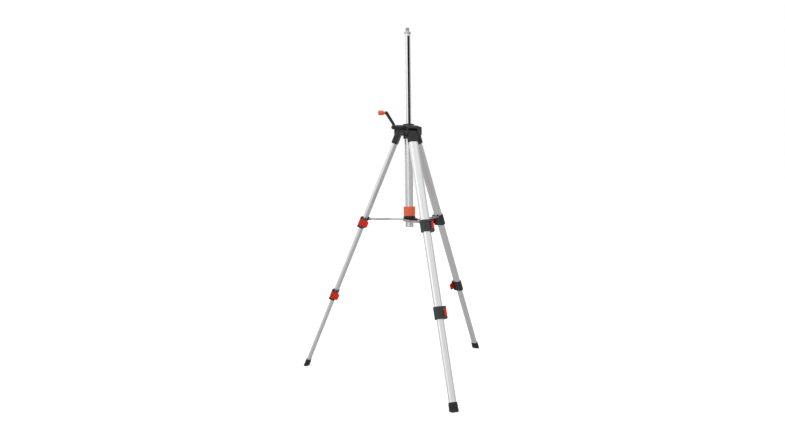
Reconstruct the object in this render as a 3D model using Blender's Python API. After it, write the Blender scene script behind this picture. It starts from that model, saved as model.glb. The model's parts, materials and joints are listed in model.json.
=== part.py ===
"""Elevating tripod for a laser level: geared column, three telescoping legs and a sliding spreader.

Metres, +Z up. The origin is on the ground, at the centre of the footprint's bounding box, and the
tripod's own axis stands AXIS_Y behind it. The front leg points along -Y, the others along 30 and 150
degrees.

A leg's own frame has its origin on the leg's pivot pin: +X tangential (the side of the flip levers),
+Y towards the tripod's axis and +Z up along the leg.
"""

import math

import bmesh
import bpy
from mathutils import Matrix, Vector

MM = 0.001

# Legs
LEG_AZIMUTHS = {"front": 270.0, "right": 30.0, "left": 150.0}
LEG_TILT = math.radians(23.14)
PIVOT_RADIUS = 0.0398
PIVOT_HEIGHT = 0.985
PLUG_END = 0.046
UPPER_END = 0.402
MIDDLE_START = 0.350
MIDDLE_END = 0.738
LOWER_START = 0.690
LOWER_END = 1.058
UPPER_CLAMP_AT = 0.395
LOWER_CLAMP_AT = 0.7275
UPPER_HALF = (18.75 * MM, 10.9 * MM)
MIDDLE_HALF = (16.1 * MM, 9.25 * MM)
LOWER_HALF = (13.65 * MM, 7.75 * MM)
TUBE_WALL = 1.3 * MM
FIT_GAP = 0.35 * MM

# Clamps and levers
CLAMP_HEIGHT = 46 * MM
CLAMP_SHELL = 1.8 * MM
CLAMP_BACK = 4.0 * MM
EAR_HEIGHT = 8.2 * MM
NOTCH_DEPTH = 4.6 * MM
NOTCH_SIDES = (-3.6 * MM, 5.5 * MM)
LEVER_BOSS = 5.2 * MM
LEVER_SIDE = math.radians(-27.0)
LEVER_TAB = 15.0 * MM
LEVER_THICK = 3.6 * MM
HINGE_STUB = 2.0 * MM

# Rubber feet
FOOT_HEIGHT = 31 * MM
FOOT_HALF = (17.0 * MM, 10.0 * MM)

# Head
ARM_REACH = 54 * MM
ARM_BOTTOM = 0.974
ARM_TOP_OUT = 1.0085
HEAD_TOP = 1.0135
SHOULDER_RADIUS = 24 * MM
SOCKET_BOTTOM = 0.961
SOCKET_RADIUS = 21.5 * MM
SLOT_HALF = 19.4 * MM
CHEEK = 5.0 * MM
SLOT_CEILING = 0.9985
SLOT_FLOOR_RADIUS = 27 * MM
PIN_RADIUS = 3.0 * MM
COVER_TOP = 1.0195

# Centre tube and column
TUBE_RADIUS = 16.3 * MM
TUBE_BORE = 14.8 * MM
TUBE_BOTTOM = 0.603
TUBE_TOP = 0.990
COLUMN_RADIUS = 11.5 * MM
COLUMN_BORE = 9.7 * MM
COLUMN_BOTTOM = 0.951
COLUMN_TOP = 1.3765
FLANGE_TOP = 1.3830
FLANGE_RADIUS = 13.8 * MM
SEAT_RADIUS = 8.7 * MM
SPIGOT_RADIUS = 7.1 * MM
STUD_TOP = 1.400
STUD_RADIUS = 7.94 * MM
STEM_RADIUS = 5.44 * MM
THREAD_PITCH = 25.4 * MM / 11
THREAD_DEPTH = 1.1 * MM

# Rack and pinion
MODULE = 1.25 * MM
TEETH = 10
PRESSURE_ANGLE = math.radians(25)
ADDENDUM = 0.8 * MODULE
DEDENDUM = 1.05 * MODULE
BACKLASH = 0.15 * MM
PINION_Z = 1.005
PINION_Y = -16.0 * MM
PINION_HALF_WIDTH = 3.4 * MM
RACK_HALF_WIDTH = 3.9 * MM
RACK_BOTTOM = 0.9845
RACK_TOOTH_COUNT = 97
CHANNEL_HALF_WIDTH = 4.2 * MM
CHANNEL_FLOOR = 5.8 * MM
CHANNEL_WALL = 1.6 * MM

# Crank
SHAFT_RADIUS = 3.0 * MM
BOSS_RADIUS = 9.0 * MM
BOSS_END = 57 * MM
BUSH_RADIUS = 6.0 * MM
HUB_START = 60 * MM
HUB_END = 74 * MM
CRANK_RISE = 56 * MM
CRANK_OUT = 97 * MM
KNOB_START = 102.5 * MM
KNOB_END = 130 * MM
KNOB_RADIUS = 9.5 * MM

# Spreader
COLLAR_BOTTOM = 0.626
RING_BOTTOM = 0.638
RING_TOP = 0.648
NECK_TOP = 0.668
NUT_BOTTOM = 0.6488
NUT_TOP = 0.687
RING_RADIUS = 24.5 * MM
NECK_RADIUS = 19.4 * MM
NUT_RADIUS = 24.0 * MM
NUT_FLUTES = 14
COLLAR_PIVOT_RADIUS = 23.5 * MM
COLLAR_PIVOT_HEIGHT = 0.632
STRUT_OFFSET_INNER = -26.0 * MM
STRUT_OFFSET_OUTER = -8.0 * MM
STRUT_THICK = 2.0 * MM
STRUT_HALF_HEIGHT = 4.5 * MM
STRUT_PIN_ALONG = 0.374
STRUT_PIN_INWARD = 17.6 * MM

# The axis stands behind the footprint's centre: the front foot reaches further than the two rear ones.
FOOT_RADIUS = PIVOT_RADIUS + PIVOT_HEIGHT * math.tan(LEG_TILT)
FOOT_REACH = FOOT_HALF[1] / math.cos(LEG_TILT)
REAR_REACH = math.hypot(FOOT_REACH * 0.5, FOOT_HALF[0] * math.cos(math.radians(30)))
AXIS_Y = (0.5 * FOOT_RADIUS + FOOT_REACH - REAR_REACH) / 2

MATERIALS = {
    "aluminium": ((0.78, 0.78, 0.79), 0.34, 1.0),
    "bright_steel": ((0.70, 0.70, 0.71), 0.28, 1.0),
    "dark_steel": ((0.09, 0.09, 0.095), 0.45, 1.0),
    "dark_plastic": ((0.060, 0.061, 0.065), 0.48, 0.0),
    "black_plastic": ((0.018, 0.018, 0.020), 0.42, 0.0),
    "red_plastic": ((0.80, 0.075, 0.022), 0.38, 0.0),
    "rubber": ((0.012, 0.012, 0.013), 0.75, 0.0),
}


def clear_scene():
    for obj in list(bpy.data.objects):
        bpy.data.objects.remove(obj, do_unlink=True)


def make_materials():
    made = {}
    for name, (colour, roughness, metallic) in MATERIALS.items():
        material = bpy.data.materials.new(name)
        material.use_nodes = True
        shader = material.node_tree.nodes["Principled BSDF"]
        shader.inputs["Base Color"].default_value = (*colour, 1.0)
        shader.inputs["Roughness"].default_value = roughness
        shader.inputs["Metallic"].default_value = metallic
        made[name] = material
    return made


# Frames ------------------------------------------------------------------------------------------

AXIS_FRAME = Matrix.Translation((0, AXIS_Y, 0))
X_AXIS_TURN = Matrix.Rotation(math.radians(-90), 4, "Y")  # turns a profile about Z into one about -X


def leg_radial(leg):
    azimuth = math.radians(LEG_AZIMUTHS[leg])
    return Matrix.Rotation(azimuth + math.radians(90), 4, "Z")


def pivot_frame(leg):
    """Origin on the pivot pin, +X tangential, +Y towards the axis, +Z up."""
    return AXIS_FRAME @ leg_radial(leg) @ Matrix.Translation((0, -PIVOT_RADIUS, PIVOT_HEIGHT))


def leg_frame(leg):
    """The pivot frame tilted so that -Z runs down the spread leg."""
    return pivot_frame(leg) @ Matrix.Rotation(-LEG_TILT, 4, "X")


def leg_point(x, y, along):
    """A point of a leg's frame as x tangential, y towards the tripod's axis and z height."""
    turned = Matrix.Rotation(-LEG_TILT, 4, "X") @ Vector((x, y, -along))
    return turned + Vector((0, -PIVOT_RADIUS, PIVOT_HEIGHT))


# Outlines ----------------------------------------------------------------------------------------


def circle(radius, count):
    angles = [2 * math.pi * i / count for i in range(count)]
    return [(radius * math.cos(angle), radius * math.sin(angle)) for angle in angles]


def oval(half_width, half_depth, arc=7):
    """A slot shape whose ends are half circles, counter-clockwise."""
    centre = half_width - half_depth
    points = []
    for side in (1, -1):
        start = -math.pi / 2 if side > 0 else math.pi / 2
        for i in range(arc + 1):
            angle = start + math.pi * i / arc
            x = side * centre + half_depth * math.cos(angle)
            points.append((x, half_depth * math.sin(angle)))
    return points


def arc_points(centre, radius, start, end, count):
    """Points from start to end, in degrees, about a centre."""
    found = []
    for i in range(count + 1):
        angle = math.radians(start + (end - start) * i / count)
        found.append((centre[0] + radius * math.cos(angle), centre[1] + radius * math.sin(angle)))
    return found


# Meshes ------------------------------------------------------------------------------------------


def new_object(name, mesh, frame, material, helper=False):
    obj = bpy.data.objects.new(name, mesh)
    bpy.context.scene.collection.objects.link(obj)
    obj.matrix_world = frame
    if material is not None:
        mesh.materials.append(material)
    if helper:
        obj.hide_render = True
        obj.display_type = "WIRE"
    return obj


def finish_mesh(name, shape):
    bmesh.ops.recalc_face_normals(shape, faces=shape.faces)
    mesh = bpy.data.meshes.new(name)
    shape.to_mesh(mesh)
    shape.free()
    mesh.shade_smooth()
    mesh.set_sharp_from_angle(angle=math.radians(35))
    return mesh


def loft(name, loops, closed=False):
    """Skins loops with equal point counts. A closed loft joins the last loop to the first."""
    shape = bmesh.new()
    rows = [[shape.verts.new(point) for point in points] for points in loops]
    pairs = list(zip(rows, rows[1:]))
    if closed:
        pairs.append((rows[-1], rows[0]))
    for below, above in pairs:
        count = len(below)
        for i in range(count):
            shape.faces.new((below[i], below[(i + 1) % count], above[(i + 1) % count], above[i]))
    if not closed:
        shape.faces.new(list(reversed(rows[0])))
        shape.faces.new(rows[-1])
    return finish_mesh(name, shape)


def level(points, z):
    return [(x, y, z) for x, y in points]


def prism(name, outline, low, high):
    return loft(name, [level(outline, low), level(outline, high)])


def side_prism(name, outline, low, high):
    """A prism along X of an outline in the YZ plane."""
    return loft(name, [[(x, y, z) for y, z in outline] for x in (low, high)])


def front_prism(name, outline, low, high):
    """A prism along Y of an outline in the XZ plane."""
    return loft(name, [[(x, y, z) for x, z in outline] for y in (low, high)])


def turned(name, profile, count, closed=True):
    """A profile of (radius, z) turned about Z: a ring when closed, else its two ends are capped."""
    return loft(name, [level(circle(radius, count), z) for radius, z in profile], closed)


def box(name, low, high):
    outline = [(low[0], low[1]), (high[0], low[1]), (high[0], high[1]), (low[0], high[1])]
    return prism(name, outline, low[2], high[2])


def boolean(obj, mesh, frame, operation):
    """Cuts or joins a helper shape, which stays hidden."""
    helper = new_object(f"{obj.name}.helper", mesh, frame, None, helper=True)
    modifier = obj.modifiers.new(operation.title(), "BOOLEAN")
    modifier.operation = operation
    modifier.object = helper
    modifier.solver = "EXACT"


def cut(obj, mesh, frame):
    boolean(obj, mesh, frame, "DIFFERENCE")


def join(obj, mesh, frame):
    boolean(obj, mesh, frame, "UNION")


def drill(obj, radius, low, high, frame, count=12):
    """A round hole about the frame's Z. Its corners are turned off the piece's own edges."""
    turn = Matrix.Rotation(0.11, 4, "Z")
    cut(obj, turned("drill", [(radius, low), (radius, high)], count, closed=False), frame @ turn)


def along_x(x, y, z):
    """A frame for shapes turned about the X axis: their own z runs towards -X from the point."""
    return AXIS_FRAME @ Matrix.Translation((x, y, z)) @ X_AXIS_TURN


def oval_tube(name, half, low, high):
    inner = (half[0] - TUBE_WALL, half[1] - TUBE_WALL)
    loops = [
        level(oval(*half), low),
        level(oval(*half), high),
        level(oval(*inner), high),
        level(oval(*inner), low),
    ]
    return loft(name, loops, closed=True)


def x_pin(half_length, head_half, radius, head_radius):
    """A pin about Z with a head at each end."""
    rim = 0.6 * MM
    profile = [
        (head_radius - rim, -head_half),
        (head_radius, -half_length),
        (radius, -half_length),
        (radius, half_length),
        (head_radius, half_length),
        (head_radius - rim, head_half),
    ]
    return turned("pin", profile, 10, closed=False)


# Head --------------------------------------------------------------------------------------------


def arm_outline():
    """An arm's side view in the radial plane: y is the distance from the axis, outwards negative."""
    corner = 7 * MM
    lower = arc_points((-ARM_REACH + corner, ARM_BOTTOM + corner), corner, 270, 180, 3)
    upper = [
        (-ARM_REACH, ARM_TOP_OUT - 4 * MM),
        (-ARM_REACH + 3 * MM, ARM_TOP_OUT),
        (-SHOULDER_RADIUS, HEAD_TOP),
    ]
    return [(5 * MM, ARM_BOTTOM), *lower, *upper, (5 * MM, HEAD_TOP)]


def make_head(materials):
    profile = [
        (SOCKET_RADIUS - 1 * MM, SOCKET_BOTTOM),
        (SOCKET_RADIUS, SOCKET_BOTTOM + 1 * MM),
        (SOCKET_RADIUS, ARM_BOTTOM - 1.5 * MM),
        (SHOULDER_RADIUS + 6 * MM, ARM_BOTTOM + 3 * MM),
        (SHOULDER_RADIUS + 7 * MM, PINION_Z + 1 * MM),
        (SHOULDER_RADIUS + 0.5 * MM, HEAD_TOP + 0.2 * MM),
    ]
    body = turned("head", profile, 24, closed=False)
    head = new_object("head_housing", body, AXIS_FRAME, materials["dark_plastic"])
    for leg in LEG_AZIMUTHS:
        width = SLOT_HALF + CHEEK
        join(head, side_prism("arm", arm_outline(), -width, width), AXIS_FRAME @ leg_radial(leg))
    boss_length = BOSS_END - 10 * MM
    boss_profile = [
        (BOSS_RADIUS, 0),
        (BOSS_RADIUS, boss_length - 1 * MM),
        (BOSS_RADIUS - 1 * MM, boss_length),
    ]
    boss = turned("boss", boss_profile, 18, closed=False)
    join(head, boss, along_x(-10 * MM, PINION_Y, PINION_Z))

    for leg in LEG_AZIMUTHS:
        slot_low = (-SLOT_HALF, -ARM_REACH - 10 * MM, SOCKET_BOTTOM - 10 * MM)
        slot_high = (SLOT_HALF, -SLOT_FLOOR_RADIUS, SLOT_CEILING)
        cut(head, box("slot", slot_low, slot_high), AXIS_FRAME @ leg_radial(leg))
        drill(head, PIN_RADIUS + FIT_GAP, -0.04, 0.04, pivot_frame(leg) @ X_AXIS_TURN)
    tube_hole = TUBE_RADIUS + FIT_GAP
    column_hole = COLUMN_RADIUS + 0.4 * MM
    bore = [
        (tube_hole, SOCKET_BOTTOM - 10 * MM),
        (tube_hole, TUBE_TOP + FIT_GAP),
        (column_hole, TUBE_TOP + FIT_GAP + 0.1 * MM),
        (column_hole, HEAD_TOP + 10 * MM),
    ]
    cut(head, turned("bore", bore, 30, closed=False), AXIS_FRAME)
    # The pinion's pocket opens into the column's bore and under the cover.
    pocket_low = (-4.2 * MM, PINION_Y - 8.2 * MM, PINION_Z - 8.2 * MM)
    pocket_high = (4.2 * MM, -8 * MM, HEAD_TOP + 10 * MM)
    cut(head, box("pocket", pocket_low, pocket_high), AXIS_FRAME)
    shaft_frame = along_x(0, PINION_Y, PINION_Z)
    drill(head, SHAFT_RADIUS + FIT_GAP, -13 * MM, 0.08, shaft_frame)
    drill(head, BUSH_RADIUS + 0.3 * MM, 48 * MM, 0.08, shaft_frame, count=16)

    cover_profile = [
        (column_hole, HEAD_TOP + 0.5 * MM),
        (23.5 * MM, HEAD_TOP + 0.5 * MM),
        (23.5 * MM, COVER_TOP - 2.4 * MM),
        (21.0 * MM, COVER_TOP),
        (column_hole + 1.2 * MM, COVER_TOP),
        (column_hole, COVER_TOP - 1.2 * MM),
    ]
    new_object("head_cover", turned("cover", cover_profile, 24), AXIS_FRAME, materials["black_plastic"])

    bush_profile = [
        (SHAFT_RADIUS + 0.2 * MM, 0),
        (BUSH_RADIUS, 0),
        (BUSH_RADIUS, 8.7 * MM),
        (7.6 * MM, 9.3 * MM),
        (7.6 * MM, 10.6 * MM),
        (7.0 * MM, 11.2 * MM),
        (SHAFT_RADIUS + 0.2 * MM, 11.2 * MM),
    ]
    bush_frame = along_x(-48.3 * MM, PINION_Y, PINION_Z)
    new_object("shaft_bush", turned("bush", bush_profile, 16), bush_frame, materials["black_plastic"])

    for leg in LEG_AZIMUTHS:
        outer = SLOT_HALF + CHEEK + FIT_GAP
        pin = x_pin(outer, outer + 2.4 * MM, PIN_RADIUS, 5.4 * MM)
        new_object(f"leg_pin_{leg}", pin, pivot_frame(leg) @ X_AXIS_TURN, materials["dark_steel"])


def make_centre_tube(materials):
    profile = [
        (TUBE_BORE, TUBE_BOTTOM),
        (TUBE_RADIUS, TUBE_BOTTOM),
        (TUBE_RADIUS, TUBE_TOP),
        (TUBE_BORE, TUBE_TOP),
    ]
    new_object("centre_tube", turned("centre_tube", profile, 30), AXIS_FRAME, materials["aluminium"])
    cap_radius = TUBE_BORE - FIT_GAP
    cap = [
        (cap_radius - 0.8 * MM, TUBE_BOTTOM + 0.4 * MM),
        (cap_radius, TUBE_BOTTOM + 1.2 * MM),
        (cap_radius, TUBE_BOTTOM + 6 * MM),
        (4 * MM, TUBE_BOTTOM + 6 * MM),
        (4 * MM, TUBE_BOTTOM + 0.4 * MM),
    ]
    new_object("tube_end_cap", turned("end_cap", cap, 18), AXIS_FRAME, materials["black_plastic"])


# Column and its gear -----------------------------------------------------------------------------


def rack_outline():
    """The rack's side view: y is the distance in front of the column's axis, teeth outwards."""
    pitch = math.pi * MODULE
    pitch_line = -PINION_Y - MODULE * TEETH / 2
    tip = pitch_line + ADDENDUM
    root = pitch_line - DEDENDUM
    half = (pitch / 2 - BACKLASH) / 2
    half_tip = half - ADDENDUM * math.tan(PRESSURE_ANGLE)
    half_root = half + DEDENDUM * math.tan(PRESSURE_ANGLE)
    # A gap of the rack faces the pinion's axis height, where the pinion has a tooth.
    first = PINION_Z - pitch * (round((PINION_Z - RACK_BOTTOM) / pitch) - 0.5)
    points = []
    for i in range(RACK_TOOTH_COUNT):
        centre = first + i * pitch
        points += [(-root, centre - half_root), (-tip, centre - half_tip)]
        points += [(-tip, centre + half_tip), (-root, centre + half_root)]
    back = -CHANNEL_FLOOR - FIT_GAP
    low = points[0][1] - 1 * MM
    high = points[-1][1] + 1 * MM
    return [(back, low), (-root, low), *points, (-root, high), (back, high)]


def pinion_outline():
    """Involute teeth with straight flanks below the base circle. A tooth points along +X."""
    pitch_radius = MODULE * TEETH / 2
    base = pitch_radius * math.cos(PRESSURE_ANGLE)
    tip = pitch_radius + ADDENDUM
    root = pitch_radius - DEDENDUM
    half = (math.pi * MODULE / 2 - BACKLASH) / pitch_radius / 2

    def involute(radius):
        angle = math.acos(min(1.0, base / radius))
        return math.tan(angle) - angle

    def half_angle(radius):
        return half + involute(pitch_radius) - involute(max(radius, base))

    radii = [root] + [base + (tip - base) * i / 3 for i in range(4)]
    points = []
    for tooth in range(TEETH):
        centre = 2 * math.pi * tooth / TEETH
        for radius in radii:
            angle = centre - half_angle(radius)
            points.append((radius * math.cos(angle), radius * math.sin(angle)))
        for radius in reversed(radii):
            angle = centre + half_angle(radius)
            points.append((radius * math.cos(angle), radius * math.sin(angle)))
    return points


def thread_mesh():
    """The stud: a helical ridge on a round core, faded out at both ends."""
    around = 16
    low = FLANGE_TOP - 5.5 * MM
    ridge_low = FLANGE_TOP + 0.8 * MM
    step = THREAD_PITCH / 2
    rows = int((STUD_TOP - 1.0 * MM - ridge_low) / step)
    stem = circle(STEM_RADIUS, around)
    loops = [level(stem, low), level(stem, ridge_low)]
    for row in range(rows + 1):
        z = ridge_low + row * step
        points = []
        for i in range(around):
            angle = 2 * math.pi * i / around
            phase = (z / THREAD_PITCH - i / around) % 1.0
            ridge = 1 - abs(2 * phase - 1)
            fade = min(1.0, row / 1.5, (rows - row) / 1.5)
            radius = STUD_RADIUS - THREAD_DEPTH * (1 - ridge * fade)
            points.append((radius * math.cos(angle), radius * math.sin(angle), z))
        loops.append(points)
    loops.append(level(circle(STUD_RADIUS - THREAD_DEPTH - 0.8 * MM, around), STUD_TOP))
    return loft("stud", loops)


def make_column(materials):
    tube = prism("column", circle(COLUMN_RADIUS, 36), COLUMN_BOTTOM, COLUMN_TOP)
    column = new_object("column_tube", tube, AXIS_FRAME, materials["aluminium"])
    channel = box(
        "channel",
        (-CHANNEL_HALF_WIDTH, -COLUMN_RADIUS - 5 * MM, COLUMN_BOTTOM - 0.01),
        (CHANNEL_HALF_WIDTH, -CHANNEL_FLOOR, COLUMN_TOP + 0.01),
    )
    cut(column, channel, AXIS_FRAME)
    flat = -CHANNEL_FLOOR + CHANNEL_WALL
    reach = math.degrees(math.asin(flat / COLUMN_BORE))
    hollow = arc_points((0, 0), COLUMN_BORE, reach, 180 - reach, 20)
    cut(column, prism("hollow", hollow, COLUMN_BOTTOM - 0.01, COLUMN_TOP + 0.01), AXIS_FRAME)

    rack = side_prism("rack", rack_outline(), -RACK_HALF_WIDTH, RACK_HALF_WIDTH)
    new_object("gear_rack", rack, AXIS_FRAME, materials["black_plastic"])

    guide_radius = TUBE_BORE - 0.4 * MM
    cup = [
        (6 * MM, COLUMN_BOTTOM - 2.4 * MM),
        (guide_radius - 1 * MM, COLUMN_BOTTOM - 2.4 * MM),
        (guide_radius, COLUMN_BOTTOM - 1.4 * MM),
        (guide_radius, TUBE_TOP - 5 * MM),
        (COLUMN_RADIUS + FIT_GAP, TUBE_TOP - 5 * MM),
        (COLUMN_RADIUS + FIT_GAP, COLUMN_BOTTOM - 0.4 * MM),
        (6 * MM, COLUMN_BOTTOM - 0.4 * MM),
    ]
    new_object("column_guide", turned("guide", cup, 20), AXIS_FRAME, materials["black_plastic"])

    stem_hole = STEM_RADIUS + FIT_GAP
    flange_low = COLUMN_TOP + 0.3 * MM
    flange_profile = [
        (stem_hole, flange_low - 6 * MM),
        (SPIGOT_RADIUS, flange_low - 6 * MM),
        (SPIGOT_RADIUS, flange_low),
        (FLANGE_RADIUS - 1.2 * MM, flange_low),
        (FLANGE_RADIUS, flange_low + 1.6 * MM),
        (FLANGE_RADIUS, FLANGE_TOP - 0.8 * MM),
        (FLANGE_RADIUS - 0.8 * MM, FLANGE_TOP),
        (SEAT_RADIUS, FLANGE_TOP),
        (SEAT_RADIUS, FLANGE_TOP - 0.6 * MM),
        (stem_hole, FLANGE_TOP - 0.6 * MM),
    ]
    disc = turned("flange", flange_profile, 24)
    flange = new_object("column_flange", disc, AXIS_FRAME, materials["aluminium"])
    channel_back = -CHANNEL_FLOOR + CHANNEL_WALL + FIT_GAP
    flat = box("flat", (-10 * MM, -20 * MM, flange_low - 8 * MM), (10 * MM, channel_back, flange_low))
    cut(flange, flat, AXIS_FRAME)
    for side in (1, -1):
        ear = [
            (side * 11 * MM, -3.2 * MM),
            (side * 15.6 * MM, -2.4 * MM),
            (side * 15.6 * MM, 2.4 * MM),
            (side * 11 * MM, 3.2 * MM),
        ]
        join(flange, prism("ear", ear, flange_low + 1.8 * MM, FLANGE_TOP - 1.0 * MM), AXIS_FRAME)
    new_object("thread_stud", thread_mesh(), AXIS_FRAME, materials["bright_steel"])


def make_crank(materials):
    shaft_frame = along_x(0, PINION_Y, PINION_Z)
    shaft_profile = [
        (SHAFT_RADIUS - 0.5 * MM, -12.6 * MM),
        (SHAFT_RADIUS, -12.1 * MM),
        (SHAFT_RADIUS, HUB_END - 0.4 * MM),
    ]
    rod = turned("shaft", shaft_profile, 12, closed=False)
    shaft = new_object("crank_shaft", rod, shaft_frame, materials["bright_steel"])
    drill(shaft, 1.75 * MM, HUB_END - 9 * MM, HUB_END + 5 * MM, shaft_frame, count=10)

    pinion = prism("pinion", pinion_outline(), -PINION_HALF_WIDTH, PINION_HALF_WIDTH)
    # A tooth points at the column, along +Y.
    tooth_turn = Matrix.Rotation(math.radians(90), 4, "Z")
    gear = new_object("pinion_gear", pinion, shaft_frame @ tooth_turn, materials["bright_steel"])
    drill(gear, SHAFT_RADIUS + 0.3 * MM, -0.01, 0.01, shaft_frame)

    half = 5.0 * MM
    hub_middle = (HUB_START + HUB_END) / 2
    outline = [
        (-hub_middle + 4.2 * MM, -5 * MM),
        (-hub_middle + 4.2 * MM, 12 * MM),
        (-CRANK_OUT + 5.2 * MM, CRANK_RISE + 2 * MM),
        (-CRANK_OUT + 2.2 * MM, CRANK_RISE + 5.5 * MM),
        (-CRANK_OUT - 3.6 * MM, CRANK_RISE + 5.5 * MM),
        (-CRANK_OUT - 3.6 * MM, CRANK_RISE - 3 * MM),
        (-hub_middle - 4.6 * MM, 9 * MM),
        (-hub_middle - 4.6 * MM, -5 * MM),
    ]
    arm_frame = AXIS_FRAME @ Matrix.Translation((0, PINION_Y, PINION_Z))
    arm = new_object(
        "crank_arm",
        front_prism("arm", outline, -half, half),
        arm_frame,
        materials["black_plastic"],
    )
    hub_profile = [
        (7.4 * MM, HUB_START),
        (8.4 * MM, HUB_START + 1 * MM),
        (8.4 * MM, HUB_END - 1 * MM),
        (7.4 * MM, HUB_END),
    ]
    join(arm, turned("hub", hub_profile, 16, closed=False), shaft_frame)
    knob_frame = along_x(0, PINION_Y, PINION_Z + CRANK_RISE)
    eye_profile = [
        (5.6 * MM, CRANK_OUT - 4.4 * MM),
        (6.4 * MM, CRANK_OUT - 3.6 * MM),
        (6.4 * MM, CRANK_OUT + 4.0 * MM),
        (5.6 * MM, CRANK_OUT + 4.8 * MM),
    ]
    join(arm, turned("eye", eye_profile, 14, closed=False), knob_frame)
    drill(arm, SHAFT_RADIUS + 0.3 * MM, 0.05, 0.08, shaft_frame)
    drill(arm, 2.8 * MM, 0.08, 0.11, knob_frame)
    drill(arm, 4.4 * MM, CRANK_OUT - 16 * MM, CRANK_OUT - 4.6 * MM, knob_frame)

    screw_profile = [
        (1.4 * MM, HUB_END - 8 * MM),
        (1.4 * MM, HUB_END + 0.3 * MM),
        (5.2 * MM, HUB_END + 0.3 * MM),
        (5.2 * MM, HUB_END + 1.5 * MM),
        (3.8 * MM, HUB_END + 2.9 * MM),
    ]
    screw_body = turned("screw", screw_profile, 10, closed=False)
    screw = new_object("crank_screw", screw_body, shaft_frame, materials["dark_steel"])
    drill(screw, 1.9 * MM, HUB_END + 1.4 * MM, HUB_END + 6 * MM, shaft_frame, count=6)

    pin_profile = [
        (3.9 * MM, CRANK_OUT - 6.2 * MM),
        (3.9 * MM, CRANK_OUT - 4.8 * MM),
        (2.5 * MM, CRANK_OUT - 4.8 * MM),
        (2.5 * MM, KNOB_END - 4.4 * MM),
        (4.4 * MM, KNOB_END - 4.4 * MM),
        (4.4 * MM, KNOB_END - 2.2 * MM),
        (3.4 * MM, KNOB_END - 1.4 * MM),
    ]
    knob_pin = turned("knob_pin", pin_profile, 10, closed=False)
    new_object("knob_pin", knob_pin, knob_frame, materials["bright_steel"])

    knob_bore = 2.5 * MM + 0.35 * MM
    knob_profile = [
        (knob_bore, KNOB_START),
        (4.9 * MM, KNOB_START),
        (5.6 * MM, KNOB_START + 2 * MM),
        (8.6 * MM, KNOB_START + 8.5 * MM),
        (KNOB_RADIUS, KNOB_START + 13 * MM),
        (KNOB_RADIUS, KNOB_END - 3.5 * MM),
        (KNOB_RADIUS - 1.2 * MM, KNOB_END - 1.0 * MM),
        (KNOB_RADIUS - 3.6 * MM, KNOB_END),
        (4.9 * MM, KNOB_END - 0.4 * MM),
        (4.9 * MM, KNOB_END - 4.8 * MM),
        (knob_bore, KNOB_END - 4.8 * MM),
    ]
    knob = turned("knob", knob_profile, 18)
    new_object("crank_knob", knob, knob_frame, materials["red_plastic"])


# Spreader ----------------------------------------------------------------------------------------


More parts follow.
